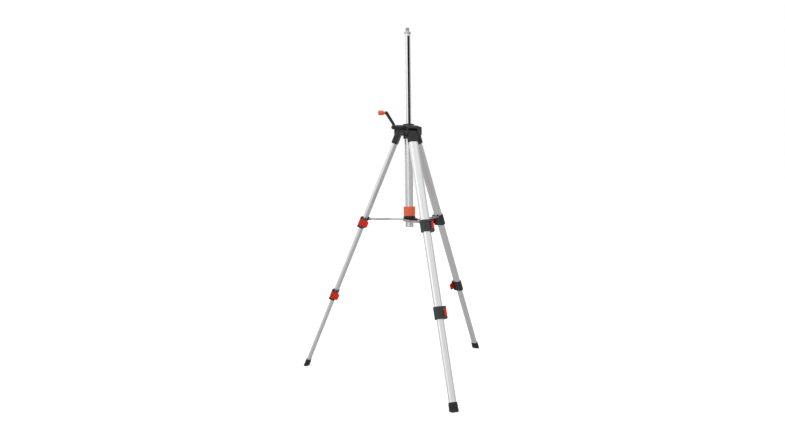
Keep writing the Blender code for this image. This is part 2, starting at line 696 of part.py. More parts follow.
def make_collar(materials):
    bore = TUBE_RADIUS + FIT_GAP
    profile = [
        (bore, COLLAR_BOTTOM + 0.8 * MM),
        (bore + 0.8 * MM, COLLAR_BOTTOM),
        (20.4 * MM, COLLAR_BOTTOM),
        (20.4 * MM, RING_BOTTOM - 0.6 * MM),
        (RING_RADIUS - 1.6 * MM, RING_BOTTOM),
        (RING_RADIUS, RING_BOTTOM + 2.4 * MM),
        (RING_RADIUS, RING_TOP - 2.4 * MM),
        (RING_RADIUS - 2.0 * MM, RING_TOP),
        (NECK_RADIUS, RING_TOP),
        (NECK_RADIUS, NECK_TOP),
        (bore, NECK_TOP),
    ]
    sleeve = turned("collar", profile, 24)
    collar = new_object("collar_sleeve", sleeve, AXIS_FRAME, materials["black_plastic"])
    lug_outer = STRUT_OFFSET_INNER + STRUT_THICK / 2 + 0.3 * MM
    for leg in LEG_AZIMUTHS:
        frame = AXIS_FRAME @ leg_radial(leg)
        lug = [
            (4 * MM, COLLAR_BOTTOM + 0.8 * MM),
            (4 * MM, RING_BOTTOM + 3 * MM),
            (-COLLAR_PIVOT_RADIUS + 6 * MM, RING_BOTTOM + 1.2 * MM),
            *arc_points((-COLLAR_PIVOT_RADIUS, COLLAR_PIVOT_HEIGHT), 4.6 * MM, 70, 270, 5),
        ]
        join(collar, side_prism("lug", lug, lug_outer, lug_outer + 3.2 * MM), frame)
        root_low = (lug_outer + 1 * MM, -12.5 * MM, COLLAR_BOTTOM + 1.0 * MM)
        root_high = (-12 * MM, 3 * MM, RING_BOTTOM + 2.5 * MM)
        join(collar, box("root", root_low, root_high), frame)
        at = Matrix.Translation((-12 * MM, -COLLAR_PIVOT_RADIUS, COLLAR_PIVOT_HEIGHT))
        drill(collar, 2.5 * MM, 0, 0.03, frame @ at @ X_AXIS_TURN, count=10)
    drill(collar, bore + 0.05 * MM, COLLAR_BOTTOM - 0.01, NECK_TOP + 0.01, AXIS_FRAME, count=24)

    count = NUT_FLUTES * 2

    def fluted(radius, depth, z):
        points = []
        for i in range(count):
            angle = 2 * math.pi * i / count
            here = radius if i % 2 else radius - depth
            points.append((here * math.cos(angle), here * math.sin(angle), z))
        return points

    lip = bore + 0.2 * MM
    loops = [
        fluted(NUT_RADIUS - 1.8 * MM, 0.0, NUT_BOTTOM),
        fluted(NUT_RADIUS, 1.3 * MM, NUT_BOTTOM + 9 * MM),
        fluted(NUT_RADIUS, 1.3 * MM, NUT_TOP - 7 * MM),
        fluted(NUT_RADIUS - 0.6 * MM, 0.6 * MM, NUT_TOP - 1.8 * MM),
        fluted(NUT_RADIUS - 2.6 * MM, 0.0, NUT_TOP),
        level(circle(lip, count), NUT_TOP),
        level(circle(lip, count), NUT_TOP - 4 * MM),
        level(circle(NECK_RADIUS + FIT_GAP, count), NUT_TOP - 6 * MM),
        level(circle(NECK_RADIUS + FIT_GAP, count), NUT_BOTTOM),
    ]
    new_object("collar_nut", loft("nut", loops, closed=True), AXIS_FRAME, materials["red_plastic"])

    collet = [
        (bore, NECK_TOP + 0.4 * MM),
        (NECK_RADIUS - 0.4 * MM, NECK_TOP + 0.4 * MM),
        (NECK_RADIUS - 0.4 * MM, NUT_TOP - 7 * MM),
        (17.4 * MM, NUT_TOP - 5.2 * MM),
        (bore, NUT_TOP - 5.2 * MM),
    ]
    collet_body = turned("collet", collet, 20)
    ring = new_object("collar_collet", collet_body, AXIS_FRAME, materials["black_plastic"])
    split = box("split", (-1 * MM, 0, NECK_TOP - 5 * MM), (1 * MM, 30 * MM, NUT_TOP))
    cut(ring, split, AXIS_FRAME)


def strut_frame(leg):
    """Origin on the strut's pin at the leg, +Y along the strut to the collar, +Z up across it."""
    outer = leg_point(0, STRUT_PIN_INWARD, STRUT_PIN_ALONG)
    inner = Vector((0, -COLLAR_PIVOT_RADIUS, COLLAR_PIVOT_HEIGHT))
    slope = math.atan2(inner.z - outer.z, inner.y - outer.y)
    return AXIS_FRAME @ leg_radial(leg) @ Matrix.Translation(outer) @ Matrix.Rotation(slope, 4, "X")


def strut_length():
    outer = leg_point(0, STRUT_PIN_INWARD, STRUT_PIN_ALONG)
    return math.hypot(-COLLAR_PIVOT_RADIUS - outer.y, COLLAR_PIVOT_HEIGHT - outer.z)


def strut_mesh(length):
    """A flat bar with round ends, set over sideways between its two straight ends."""
    radius = STRUT_HALF_HEIGHT
    tip_angles = [math.radians(degrees) for degrees in (20, 45, 70, 90)]
    set_start = 14 * MM
    set_end = length - 58 * MM
    tip = [(radius * math.cos(angle), radius * math.sin(angle)) for angle in tip_angles]
    stations = [(-along, height) for along, height in tip]
    stations += [(set_start, radius), ((set_start + set_end) / 2, radius), (set_end, radius)]
    stations += [(length + along, height) for along, height in reversed(tip)]
    loops = []
    for along, height in stations:
        share = min(1.0, max(0.0, (along - set_start) / (set_end - set_start)))
        x = STRUT_OFFSET_OUTER + share * (STRUT_OFFSET_INNER - STRUT_OFFSET_OUTER)
        low, high = x - STRUT_THICK / 2, x + STRUT_THICK / 2
        corners = [(low, -height), (high, -height), (high, height), (low, height)]
        loops.append([(x, along, z) for x, z in corners])
    return loft("strut", loops)


def make_struts(materials):
    length = strut_length()
    for leg in LEG_AZIMUTHS:
        frame = strut_frame(leg)
        strut = new_object(f"strut_{leg}", strut_mesh(length), frame, materials["aluminium"])
        for x, along in ((STRUT_OFFSET_OUTER, 0), (STRUT_OFFSET_INNER, length)):
            at = frame @ Matrix.Translation((x, along, 0)) @ X_AXIS_TURN
            drill(strut, 2.4 * MM, -0.01, 0.01, at, count=10)
        # The rivet's shank ends flush with the bar's inner face.
        inner_face = -STRUT_THICK / 2
        outer_face = STRUT_THICK / 2
        rivet = [
            (2.1 * MM, inner_face),
            (2.1 * MM, outer_face + 0.3 * MM),
            (4.4 * MM, outer_face + 0.3 * MM),
            (4.4 * MM, outer_face + 0.9 * MM),
            (3.4 * MM, outer_face + 1.7 * MM),
            (1.6 * MM, outer_face + 2.1 * MM),
        ]
        rivet_frame = frame @ Matrix.Translation((STRUT_OFFSET_INNER, length, 0)) @ X_AXIS_TURN
        body = turned("rivet", rivet, 10, closed=False)
        new_object(f"collar_rivet_{leg}", body, rivet_frame, materials["bright_steel"])


# Legs --------------------------------------------------------------------------------------------


def make_plug(leg, frame, materials):
    """The knuckle that turns in the head's clevis, with a spigot in the upper tube."""
    radius = 11.0 * MM
    half_width = SLOT_HALF - 0.4 * MM
    outline = [(-radius, -PLUG_END), (radius, -PLUG_END), *arc_points((0, 0), radius, 0, 180, 8)]
    plug = new_object(
        f"leg_plug_{leg}",
        side_prism("plug", outline, -half_width, half_width),
        frame,
        materials["black_plastic"],
    )
    edge = plug.modifiers.new("Edges", "BEVEL")
    edge.width = 2.2 * MM
    edge.segments = 1
    edge.limit_method = "ANGLE"
    edge.angle_limit = math.radians(60)
    inner = (UPPER_HALF[0] - TUBE_WALL - FIT_GAP, UPPER_HALF[1] - TUBE_WALL - FIT_GAP)
    spigot = prism("spigot", oval(*inner, arc=6), -PLUG_END - 19 * MM, -PLUG_END + 8 * MM)
    join(plug, spigot, frame)
    drill(plug, PIN_RADIUS + FIT_GAP, -0.03, 0.03, frame @ X_AXIS_TURN)


def clamp_hinge(half):
    """The lever's hinge in the clamp's plane."""
    centre = half[0] - half[1]
    reach = half[1] + CLAMP_SHELL + LEVER_BOSS + 0.5 * MM
    return (centre + reach * math.cos(LEVER_SIDE), reach * math.sin(LEVER_SIDE))


def make_clamp(name, outer_tube, inner_tube, step, frame, materials):
    """A shell round the tube with two ears for the lever. The step is where the bore narrows."""
    top = CLAMP_HEIGHT / 2
    half_width = outer_tube[0] + CLAMP_BACK
    half_depth = outer_tube[1] + CLAMP_SHELL
    shift = (CLAMP_SHELL - CLAMP_BACK) / 2
    rim = 1.2 * MM

    def shell(inset, z):
        return [(x + shift, y, z) for x, y in oval(half_width + shift - inset, half_depth - inset)]

    loops = [shell(rim, -top), shell(0, -top + 1.4 * MM), shell(0, top - 1.4 * MM), shell(rim, top)]
    clamp = new_object(name, loft("clamp", loops), frame, materials["dark_plastic"])

    hinge = clamp_hinge(outer_tube)
    boss = LEVER_BOSS
    ear = [
        (0, -half_depth),
        (hinge[0] - 1.0 * MM, -half_depth),
        *arc_points(hinge, boss, -75, 0, 4),
        (hinge[0] + boss, 4 * MM),
        (hinge[0] + boss - 3 * MM, half_depth - 1.5 * MM),
        (hinge[0] - 6 * MM, half_depth),
        (0, half_depth),
    ]
    for low, high in ((-top, -top + EAR_HEIGHT), (top - EAR_HEIGHT, top)):
        join(clamp, prism("ear", ear, low, high), frame)
    # The upper ear is notched, which leaves the tube's round side showing between two corners.
    notch_low = (outer_tube[0] - outer_tube[1], NOTCH_SIDES[0], top - NOTCH_DEPTH)
    cut(clamp, box("notch", notch_low, (50 * MM, NOTCH_SIDES[1], top + 10 * MM)), frame)
    bore = (outer_tube[0] + FIT_GAP, outer_tube[1] + FIT_GAP)
    cut(clamp, prism("bore", oval(*bore), step, top + 0.01), frame)
    neck = (inner_tube[0] + FIT_GAP, inner_tube[1] + FIT_GAP)
    cut(clamp, prism("neck", oval(*neck), -top - 0.01, step + 0.001), frame)
    hinge_frame = frame @ Matrix.Translation((*hinge, 0))
    drill(clamp, HINGE_STUB + 0.3 * MM, -top + 2 * MM, top - 2 * MM, hinge_frame, count=8)
    return clamp


def make_lever(name, outer_tube, frame, materials):
    """A flip lever: hinge boss with moulded stubs, a side that follows the clamp and a finger tab."""
    hinge = clamp_hinge(outer_tube)
    half_depth = outer_tube[1] + CLAMP_SHELL
    half_length = CLAMP_HEIGHT / 2 - EAR_HEIGHT - 0.4 * MM
    inner_x = LEVER_BOSS - LEVER_THICK
    tab = half_depth + LEVER_TAB - hinge[1]
    # Round the hinge boss, along the side and out to the tab, then back inside.
    outline = [
        *arc_points((0, 0), LEVER_BOSS, -200, 0, 9),
        (LEVER_BOSS, tab * 0.45),
        (LEVER_BOSS - 0.6 * MM, tab * 0.72),
        (LEVER_BOSS + 0.9 * MM, tab - 1.4 * MM),
        (LEVER_BOSS - 0.2 * MM, tab),
        (LEVER_BOSS - 2.0 * MM, tab - 0.6 * MM),
        (inner_x - 0.4 * MM, tab * 0.72),
        (inner_x + 0.6 * MM, tab * 0.45),
        (inner_x + 0.6 * MM, 5.0 * MM),
    ]
    lever_frame = frame @ Matrix.Translation((*hinge, 0))
    body = prism("lever", outline, -half_length, half_length)
    lever = new_object(name, body, lever_frame, materials["red_plastic"])
    reach = half_length + EAR_HEIGHT - 2.6 * MM
    stub_profile = [(HINGE_STUB - 0.4 * MM, -reach), (HINGE_STUB, -reach + 0.4 * MM)]
    stub_profile += [(HINGE_STUB, reach - 0.4 * MM), (HINGE_STUB - 0.4 * MM, reach)]
    join(lever, turned("stubs", stub_profile, 8, closed=False), lever_frame)
    # The tab's two corners are rounded off.
    round_end = 8 * MM
    for side in (1, -1):
        centre = (tab - round_end, side * (half_length - round_end))
        start = 0 if side > 0 else -90
        corner = arc_points(centre, round_end, start, start + 90, 3)
        corner.append((tab + 2 * MM, side * (half_length + 2 * MM)))
        cut(lever, side_prism("corner", corner, -10 * MM, 10 * MM), lever_frame)


def make_strut_lug(clamp, leg, materials):
    """Two plates on the upper clamp's inner face that hold the strut's pin."""
    frame = leg_frame(leg)
    inner_face = UPPER_HALF[1] + CLAMP_SHELL
    round_end = 4.8 * MM
    outline = [
        (inner_face - 1.2 * MM, -STRUT_PIN_ALONG - 7.5 * MM),
        *arc_points((STRUT_PIN_INWARD, -STRUT_PIN_ALONG), round_end, -80, 80, 6),
        (inner_face - 1.2 * MM, -STRUT_PIN_ALONG + 7.0 * MM),
    ]
    gap = STRUT_THICK / 2 + 0.4 * MM
    plate = 2.4 * MM
    for low in (STRUT_OFFSET_OUTER - gap - plate, STRUT_OFFSET_OUTER + gap):
        join(clamp, side_prism("lug", outline, low, low + plate), frame)
    pin_at = Matrix.Translation((STRUT_OFFSET_OUTER, STRUT_PIN_INWARD, -STRUT_PIN_ALONG))
    at = frame @ pin_at @ X_AXIS_TURN
    drill(clamp, 2.3 * MM, -0.005, 0.005, at, count=10)
    outer = gap + plate + 0.3 * MM
    pin = x_pin(outer, outer + 1.3 * MM, 2.0 * MM, 3.4 * MM)
    new_object(f"strut_pin_{leg}", pin, at, materials["bright_steel"])


def make_foot(leg, frame, materials):
    """A rubber cup on the lower tube, cut level with the ground."""

    def ground(points, lift=0.0):
        # The height along the leg at which a point of the section meets the ground.
        return [
            (x, y, (lift - PIVOT_HEIGHT + y * math.sin(LEG_TILT)) / math.cos(LEG_TILT))
            for x, y in points
        ]

    ground_centre = -PIVOT_HEIGHT / math.cos(LEG_TILT)
    top = ground_centre + FOOT_HEIGHT
    pocket = (LOWER_HALF[0] + FIT_GAP, LOWER_HALF[1] + FIT_GAP)
    mouth = (LOWER_HALF[0] + 2.5 * MM, LOWER_HALF[1] + 1.7 * MM)
    sole = (FOOT_HALF[0] - 1.0 * MM, FOOT_HALF[1] - 1.0 * MM)
    loops = [
        ground(oval(*sole)),
        ground(oval(*FOOT_HALF), 1.6 * MM),
        level(oval(*FOOT_HALF), ground_centre + 13 * MM),
        level(oval(*mouth), top - 2 * MM),
        level(oval(mouth[0] - 0.8 * MM, mouth[1] - 0.8 * MM), top),
        level(oval(*pocket), top),
        level(oval(*pocket), -LOWER_END - 0.4 * MM),
    ]
    new_object(f"rubber_foot_{leg}", loft("foot", loops), frame, materials["rubber"])


def make_leg(leg, materials):
    frame = leg_frame(leg)
    aluminium = materials["aluminium"]
    make_plug(leg, frame, materials)
    upper = oval_tube("upper", UPPER_HALF, -UPPER_END, -PLUG_END - 0.4 * MM)
    new_object(f"upper_tube_{leg}", upper, frame, aluminium)
    middle = oval_tube("middle", MIDDLE_HALF, -MIDDLE_END, -MIDDLE_START)
    new_object(f"middle_tube_{leg}", middle, frame, aluminium)
    lower = oval_tube("lower", LOWER_HALF, -LOWER_END, -LOWER_START)
    new_object(f"lower_tube_{leg}", lower, frame, aluminium)

    upper_at = frame @ Matrix.Translation((0, 0, -UPPER_CLAMP_AT))
    upper_step = UPPER_CLAMP_AT - UPPER_END - 0.4 * MM
    clamp = make_clamp(f"upper_clamp_{leg}", UPPER_HALF, MIDDLE_HALF, upper_step, upper_at, materials)
    make_strut_lug(clamp, leg, materials)
    make_lever(f"upper_lever_{leg}", UPPER_HALF, upper_at, materials)

    lower_at = frame @ Matrix.Translation((0, 0, -LOWER_CLAMP_AT))
    lower_step = LOWER_CLAMP_AT - MIDDLE_END - 0.4 * MM
    make_clamp(f"lower_clamp_{leg}", MIDDLE_HALF, LOWER_HALF, lower_step, lower_at, materials)
    make_lever(f"lower_lever_{leg}", MIDDLE_HALF, lower_at, materials)
    make_foot(leg, frame, materials)


def main():
    clear_scene()
    materials = make_materials()
    make_head(materials)
    make_centre_tube(materials)
    make_column(materials)
    make_crank(materials)
    make_collar(materials)
    make_struts(materials)
    for leg in LEG_AZIMUTHS:
        make_leg(leg, materials)


main()
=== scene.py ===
"""Looks of the elevating laser level tripod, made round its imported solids.

Metres, +Z up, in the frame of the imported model. The front leg points along -Y, the others along 30
and 150 degrees. In a leg's own frame the origin is on its pivot pin, +X is the side of its flip
levers, +Y is towards the tripod's axis and +Z runs up the leg.
"""

import json
import math

import bmesh
import bpy
from mathutils import Matrix, Vector


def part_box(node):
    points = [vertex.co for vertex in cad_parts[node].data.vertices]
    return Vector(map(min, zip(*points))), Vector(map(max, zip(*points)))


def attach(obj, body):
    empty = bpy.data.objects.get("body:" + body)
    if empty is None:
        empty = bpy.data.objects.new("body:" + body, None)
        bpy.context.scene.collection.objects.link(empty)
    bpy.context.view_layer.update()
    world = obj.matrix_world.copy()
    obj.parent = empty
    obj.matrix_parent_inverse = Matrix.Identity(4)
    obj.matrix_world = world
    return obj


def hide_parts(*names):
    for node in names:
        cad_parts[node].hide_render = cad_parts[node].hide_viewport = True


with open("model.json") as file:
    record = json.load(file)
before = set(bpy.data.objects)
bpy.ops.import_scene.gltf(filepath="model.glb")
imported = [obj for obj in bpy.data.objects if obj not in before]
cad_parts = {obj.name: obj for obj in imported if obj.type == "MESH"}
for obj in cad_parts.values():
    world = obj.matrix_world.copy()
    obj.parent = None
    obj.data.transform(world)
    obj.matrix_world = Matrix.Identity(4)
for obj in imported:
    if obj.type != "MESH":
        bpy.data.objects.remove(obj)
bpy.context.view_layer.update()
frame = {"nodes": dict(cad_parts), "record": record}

MM = 0.001
RECORD = frame["record"]
BODY_OF = {node: body for body, nodes in RECORD["behaviour"]["bodies"].items() for node in nodes}
SLOT_OF = {row["node"]: row["material_slot"] for row in RECORD["subparts"]}


def middle(node):
    low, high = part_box(node)
    return (low + high) / 2


# Sizes shared with the solids ---------------------------------------------------------------------

LEGS = {"front": 270.0, "right": 30.0, "left": 150.0}
LEG_TILT = math.radians(23.14)
PIVOT_RADIUS = 0.0398
PIVOT_HEIGHT = 0.985
PLUG_END = 0.046
UPPER_CLAMP_AT = 0.395
LOWER_CLAMP_AT = 0.7275
UPPER_HALF = (18.75 * MM, 10.9 * MM)
MIDDLE_HALF = (16.1 * MM, 9.25 * MM)
LOWER_HALF = (13.65 * MM, 7.75 * MM)
TUBE_WALL = 1.3 * MM
# Where the leg's tubes end, measured down the leg from its pivot.
UPPER_END = 0.402
MIDDLE_START, MIDDLE_END = 0.350, 0.738
LOWER_START, LOWER_END = 0.690, 1.058
# Room left between neighbours: round what fits inside, and at ends that meet a shoulder.
FIT_GAP = 0.35 * MM
END_GAP = 0.4 * MM
PIN_HOLE = 3.35 * MM
CLAMP_HEIGHT = 46 * MM
CLAMP_SHELL = 1.8 * MM
CLAMP_BACK = 4.0 * MM
EAR_HEIGHT = 8.2 * MM
NOTCH_DEPTH = 4.6 * MM
NOTCH_SIDES = (-3.6 * MM, 5.5 * MM)
LEVER_BOSS = 5.2 * MM
LEVER_TAB = 15.0 * MM
LEVER_THICK = 3.6 * MM
LEVER_SIDE = math.radians(-27.0)
FOOT_HEIGHT = 31 * MM
FOOT_HALF = (17.0 * MM, 10.0 * MM)
SLOT_HALF = 19.4 * MM
CHEEK = 5.0 * MM
ARM_REACH = 54 * MM
HEAD_TOP = 1.0135
TUBE_RADIUS = 16.3 * MM
TUBE_BORE = 14.8 * MM
COLUMN_RADIUS = 11.5 * MM
CHANNEL_HALF_WIDTH = 4.2 * MM
PINION_Y = -16.0 * MM
PINION_Z = 1.005
HUB_START = 60 * MM
HUB_END = 74 * MM
CRANK_RISE = 56 * MM
CRANK_OUT = 97 * MM
KNOB_START = 102.5 * MM
KNOB_END = 130 * MM
COLLAR_BOTTOM = 0.626
RING_BOTTOM = 0.638
RING_TOP = 0.648
RING_RADIUS = 24.5 * MM
NECK_RADIUS = 19.4 * MM
NECK_TOP = 0.668
NUT_BOTTOM = 0.6488
NUT_TOP = 0.687
COLLAR_PIVOT = (23.5 * MM, 0.632)
STRUT_OFFSETS = (-8.0 * MM, -26.0 * MM)
STRUT_THICK = 2.0 * MM
STRUT_HALF_HEIGHT = 4.5 * MM
STRUT_PIN = (17.6 * MM, 0.374)

AXIS_Y = middle("centre_tube").y
TUBE_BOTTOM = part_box("centre_tube")[0].z
TUBE_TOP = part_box("centre_tube")[1].z
COLUMN_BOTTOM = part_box("column_tube")[0].z
COLUMN_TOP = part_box("column_tube")[1].z
STUD_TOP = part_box("thread_stud")[1].z
FLANGE_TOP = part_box("column_flange")[1].z

AXIS_FRAME = Matrix.Translation((0, AXIS_Y, 0))
X_AXIS_TURN = Matrix.Rotation(math.radians(-90), 4, "Y")


def leg_radial(leg):
    return Matrix.Rotation(math.radians(LEGS[leg] + 90), 4, "Z")


def pivot_frame(leg):
    return AXIS_FRAME @ leg_radial(leg) @ Matrix.Translation((0, -PIVOT_RADIUS, PIVOT_HEIGHT))


def leg_frame(leg):
    return pivot_frame(leg) @ Matrix.Rotation(-LEG_TILT, 4, "X")


def along_x(x, y, z):
    """A frame whose +Z points along the shared -X, for what turns on the crank's axis."""
    return AXIS_FRAME @ Matrix.Translation((x, y, z)) @ X_AXIS_TURN


def on_shaft(x):
    return along_x(x, PINION_Y, PINION_Z)


# Materials ----------------------------------------------------------------------------------------


class Graph:
    """A material's node tree, with short calls for the nodes used here."""

    def __init__(self, name, roughness, metallic=0.0):
        self.material = bpy.data.materials.new(name)
        self.material.use_nodes = True
        self.tree = self.material.node_tree
        self.shader = self.tree.nodes["Principled BSDF"]
        self.shader.inputs["Roughness"].default_value = roughness
        self.shader.inputs["Metallic"].default_value = metallic
        self.place = self.add("ShaderNodeTexCoord").outputs["Object"]

    def add(self, kind, **settings):
        node = self.tree.nodes.new(kind)
        for key, value in settings.items():
            setattr(node, key, value)
        return node

    def link(self, source, target):
        self.tree.links.new(source, target)

    def noise(self, scale, stretch=(1, 1, 1), detail=3.0, rough=0.55):
        mapping = self.add("ShaderNodeMapping")
        mapping.inputs["Scale"].default_value = stretch
        self.link(self.place, mapping.inputs["Vector"])
        texture = self.add("ShaderNodeTexNoise")
        texture.inputs["Scale"].default_value = scale
        texture.inputs["Detail"].default_value = detail
        texture.inputs["Roughness"].default_value = rough
        self.link(mapping.outputs["Vector"], texture.inputs["Vector"])
        return texture.outputs["Fac"]

    def span(self, value, low, high, to_low=0.0, to_high=1.0):
        node = self.add("ShaderNodeMapRange")
        limits = {"From Min": low, "From Max": high, "To Min": to_low, "To Max": to_high}
        for key, number in limits.items():
            node.inputs[key].default_value = number
        self.link(value, node.inputs["Value"])
        return node.outputs["Result"]

    def math(self, operation, first, second):
        node = self.add("ShaderNodeMath", operation=operation)
        for socket, value in zip(node.inputs, (first, second)):
            if isinstance(value, float):
                socket.default_value = value
            else:
                self.link(value, socket)
        return node.outputs["Value"]

    def blend(self, share, first, second):
        """A colour between two colours, each a tuple or an output."""
        node = self.add("ShaderNodeMix", data_type="RGBA")
        self.link(share, node.inputs["Factor"])
        for socket, value in ((node.inputs[6], first), (node.inputs[7], second)):
            if isinstance(value, tuple):
                socket.default_value = (*value, 1.0)
            else:
                self.link(value, socket)
        return node.outputs[2]

    def bump(self, height, strength, distance):
        node = self.add("ShaderNodeBump")
        node.inputs["Strength"].default_value = strength
        node.inputs["Distance"].default_value = distance
        self.link(height, node.inputs["Height"])
        return node.outputs["Normal"]

    def edges(self, radius, low, high):
        """How near an edge is, from 0 to 1."""
        rounded = self.add("ShaderNodeBevel", samples=4)
        rounded.inputs["Radius"].default_value = radius
        geometry = self.add("ShaderNodeNewGeometry")
        dot = self.add("ShaderNodeVectorMath", operation="DOT_PRODUCT")
        self.link(rounded.outputs["Normal"], dot.inputs[0])
        self.link(geometry.outputs["True Normal"], dot.inputs[1])
        return self.span(dot.outputs["Value"], high, low)

    def finish(self, colour=None, roughness=None, normal=None):
        for name, value in (("Base Color", colour), ("Roughness", roughness), ("Normal", normal)):
            if value is not None:
                self.link(value, self.shader.inputs[name])
        return self.material


def anodised(
    name, streak=(1, 1, 0.006), light=(0.86, 0.86, 0.865), shade=(0.73, 0.735, 0.745), grain=2600.0
):
    """Satin aluminium with lines along the streak's short axis, faint clouds and rubbed edges."""
    graph = Graph(name, 0.36, 1.0)
    lines = graph.noise(grain, streak, 4.0, 0.6)
    clouds = graph.noise(26.0, (1, 1, 0.35), 3.0, 0.5)
    smudge = graph.noise(90.0, (1, 1, 0.5), 5.0, 0.65)
    colour = graph.blend(graph.span(lines, 0.3, 0.7), shade, light)
    colour = graph.blend(graph.span(clouds, 0.35, 0.75, 0.0, 0.4), colour, (0.80, 0.795, 0.785))
    edge = graph.edges(0.9 * MM, 0.80, 0.995)
    colour = graph.blend(graph.math("MULTIPLY", edge, 0.55), colour, (0.95, 0.95, 0.95))
    satin = graph.span(lines, 0.2, 0.8, 0.25, 0.37)
    rough = graph.math("ADD", satin, graph.span(smudge, 0.45, 0.8, 0.0, 0.12))
    normal = graph.bump(lines, 0.16, 0.05 * MM)
    return graph.finish(colour, rough, normal)


def plated(name, colour=(0.70, 0.70, 0.71), rubbed=(0.93, 0.92, 0.90)):
    """Plated or blackened steel: fine isotropic mottling and brighter rubbed edges."""
    graph = Graph(name, 0.3, 1.0)
    mottle = graph.noise(900.0, detail=5.0, rough=0.7)
    scuffs = graph.noise(240.0, (1, 1, 0.2), 4.0)
    base = graph.blend(graph.span(mottle, 0.3, 0.7), tuple(c * 0.78 for c in colour), colour)
    edge = graph.edges(0.5 * MM, 0.80, 0.99)
    base = graph.blend(graph.math("MULTIPLY", edge, 0.7), base, rubbed)
    rough = graph.span(scuffs, 0.3, 0.75, 0.20, 0.42)
    return graph.finish(base, rough, graph.bump(mottle, 0.12, 0.04 * MM))


def moulded(name, colour, worn, roughness, grain=3200.0, wear=0.5, specular=0.5):
    """Moulded plastic: an eroded grain, cloudy gloss, and edges polished lighter by handling."""
    graph = Graph(name, roughness)
    graph.shader.inputs["IOR"].default_value = 1.5
    graph.shader.inputs["Specular IOR Level"].default_value = specular
    texture = graph.noise(grain, detail=4.0, rough=0.65)
    clouds = graph.noise(55.0, detail=4.0)
    rubbed = graph.noise(420.0, detail=4.0, rough=0.7)
    dark = tuple(c * 0.80 for c in colour)
    base = graph.blend(graph.span(clouds, 0.3, 0.7), dark, colour)
    base = graph.blend(graph.span(texture, 0.35, 0.8, 0.0, 0.22), base, worn)
    edge = graph.edges(1.1 * MM, 0.78, 0.99)
    edge = graph.math("MULTIPLY", edge, graph.span(rubbed, 0.25, 0.7, 0.35, 1.0))
    base = graph.blend(graph.math("MULTIPLY", edge, wear), base, worn)
    spread = graph.span(clouds, 0.3, 0.7, roughness - 0.05, roughness + 0.08)
    rough = graph.math("SUBTRACT", spread, graph.math("MULTIPLY", edge, 0.10))
    return graph.finish(base, rough, graph.bump(texture, 0.22, 0.05 * MM))


def rubbery(name):
    """Matt rubber with a little dust that thickens towards the sole."""
    graph = Graph(name, 0.8)
    grain = graph.noise(1500.0, detail=5.0, rough=0.7)
    patches = graph.noise(160.0, detail=4.0)
    split = graph.add("ShaderNodeSeparateXYZ")
    graph.link(graph.place, split.inputs["Vector"])
    # A foot's mesh is in the shared frame, so its own Z is the height over the ground.
    low = graph.span(split.outputs["Z"], 9 * MM, 0)
    dust = graph.math("MULTIPLY", low, graph.span(patches, 0.35, 0.75))
    base = graph.blend(graph.span(grain, 0.3, 0.7), (0.010, 0.010, 0.011), (0.020, 0.020, 0.021))
    base = graph.blend(graph.math("MULTIPLY", dust, 0.35), base, (0.16, 0.15, 0.135))
    rough = graph.span(grain, 0.3, 0.7, 0.66, 0.86)
    return graph.finish(base, rough, graph.bump(grain, 0.3, 0.08 * MM))


MATERIALS = {
    "aluminium": anodised("anodised_aluminium"),
    "bright_steel": plated("zinc_plated_steel"),
    "dark_steel": plated("blackened_steel", (0.11, 0.11, 0.115), (0.34, 0.33, 0.32)),
    "housing_plastic": moulded(
        "grey_moulded_plastic", (0.0165, 0.017, 0.018), (0.11, 0.11, 0.115), 0.38
    ),
    "black_plastic": moulded(
        "black_moulded_plastic", (0.0085, 0.0085, 0.0095), (0.075, 0.075, 0.078), 0.36, specular=0.38
    ),
    # One red plastic in two copies: this lighter one carries painted light, and the levers' darker
    # copy below carries painted shade.
    "red_plastic": moulded(
        "red_plastic_painted_light", (0.98, 0.145, 0.052), (1.0, 0.34, 0.18), 0.32, 2400.0, 0.4
    ),
    "rubber": rubbery("black_rubber"),
}
# Painted shade: the levers' copy of the red plastic, made darker than the one above.
LEVER_RED_SHADED = moulded(
    "red_plastic_painted_shade", (0.68, 0.015, 0.002), (0.82, 0.075, 0.02), 0.36, 2400.0, 0.35, 0.25
)
CAST = anodised("cast_aluminium", (1, 1, 1), (0.74, 0.74, 0.745), (0.62, 0.62, 0.63), 1400.0)
ROLLED = anodised("rolled_aluminium", (1, 0.006, 1), (0.60, 0.60, 0.605), (0.49, 0.495, 0.50))


# Outlines -----------------------------------------------------------------------------------------


def circle(radius, count):
    angles = [2 * math.pi * i / count for i in range(count)]
    return [(radius * math.cos(angle), radius * math.sin(angle)) for angle in angles]


def arc_points(centre, radius, start, end, count):
    found = []
    for i in range(count + 1):
        angle = math.radians(start + (end - start) * i / count)
        found.append((centre[0] + radius * math.cos(angle), centre[1] + radius * math.sin(angle)))
    return found


def oval(half_width, half_depth, arc=16):
    """A slot shape whose ends are half circles, counter-clockwise."""
    centre = half_width - half_depth
    right = arc_points((centre, 0), half_depth, -90, 90, arc)
    left = arc_points((-centre, 0), half_depth, 90, 270, arc)
    return right + left


def grooved_oval(half_width, half_depth, arc=16):
    """The oval with two shallow drawn grooves along each flat side."""
    centre = half_width - half_depth
    width = 0.55 * MM
    depth = 0.22 * MM
    at = centre * 0.62

    def flat(side):
        points = []
        face, floor = side * half_depth, side * (half_depth - depth)
        for x in (side * at, -side * at):
            for share, y in ((1, face), (0.45, floor), (-0.45, floor), (-1, face)):
                points.append((x + side * width * share, y))
        return points

    right = arc_points((centre, 0), half_depth, -90, 90, arc)
    left = arc_points((-centre, 0), half_depth, 90, 270, arc)
    return right + flat(1) + left + flat(-1)


def level(points, z):
    return [(x, y, z) for x, y in points]


def rippled(rows, around, dip):
    """Loops from rows of (radius, z, share), each sunk by its share of dip(angle)."""
    loops = []
    for radius, z, share in rows:
        points = []
        for i in range(around):
            angle = 2 * math.pi * i / around
            here = radius - dip(angle) * share
            points.append((here * math.cos(angle), here * math.sin(angle), z))
        loops.append(points)
    return loops


# Meshes -------------------------------------------------------------------------------------------


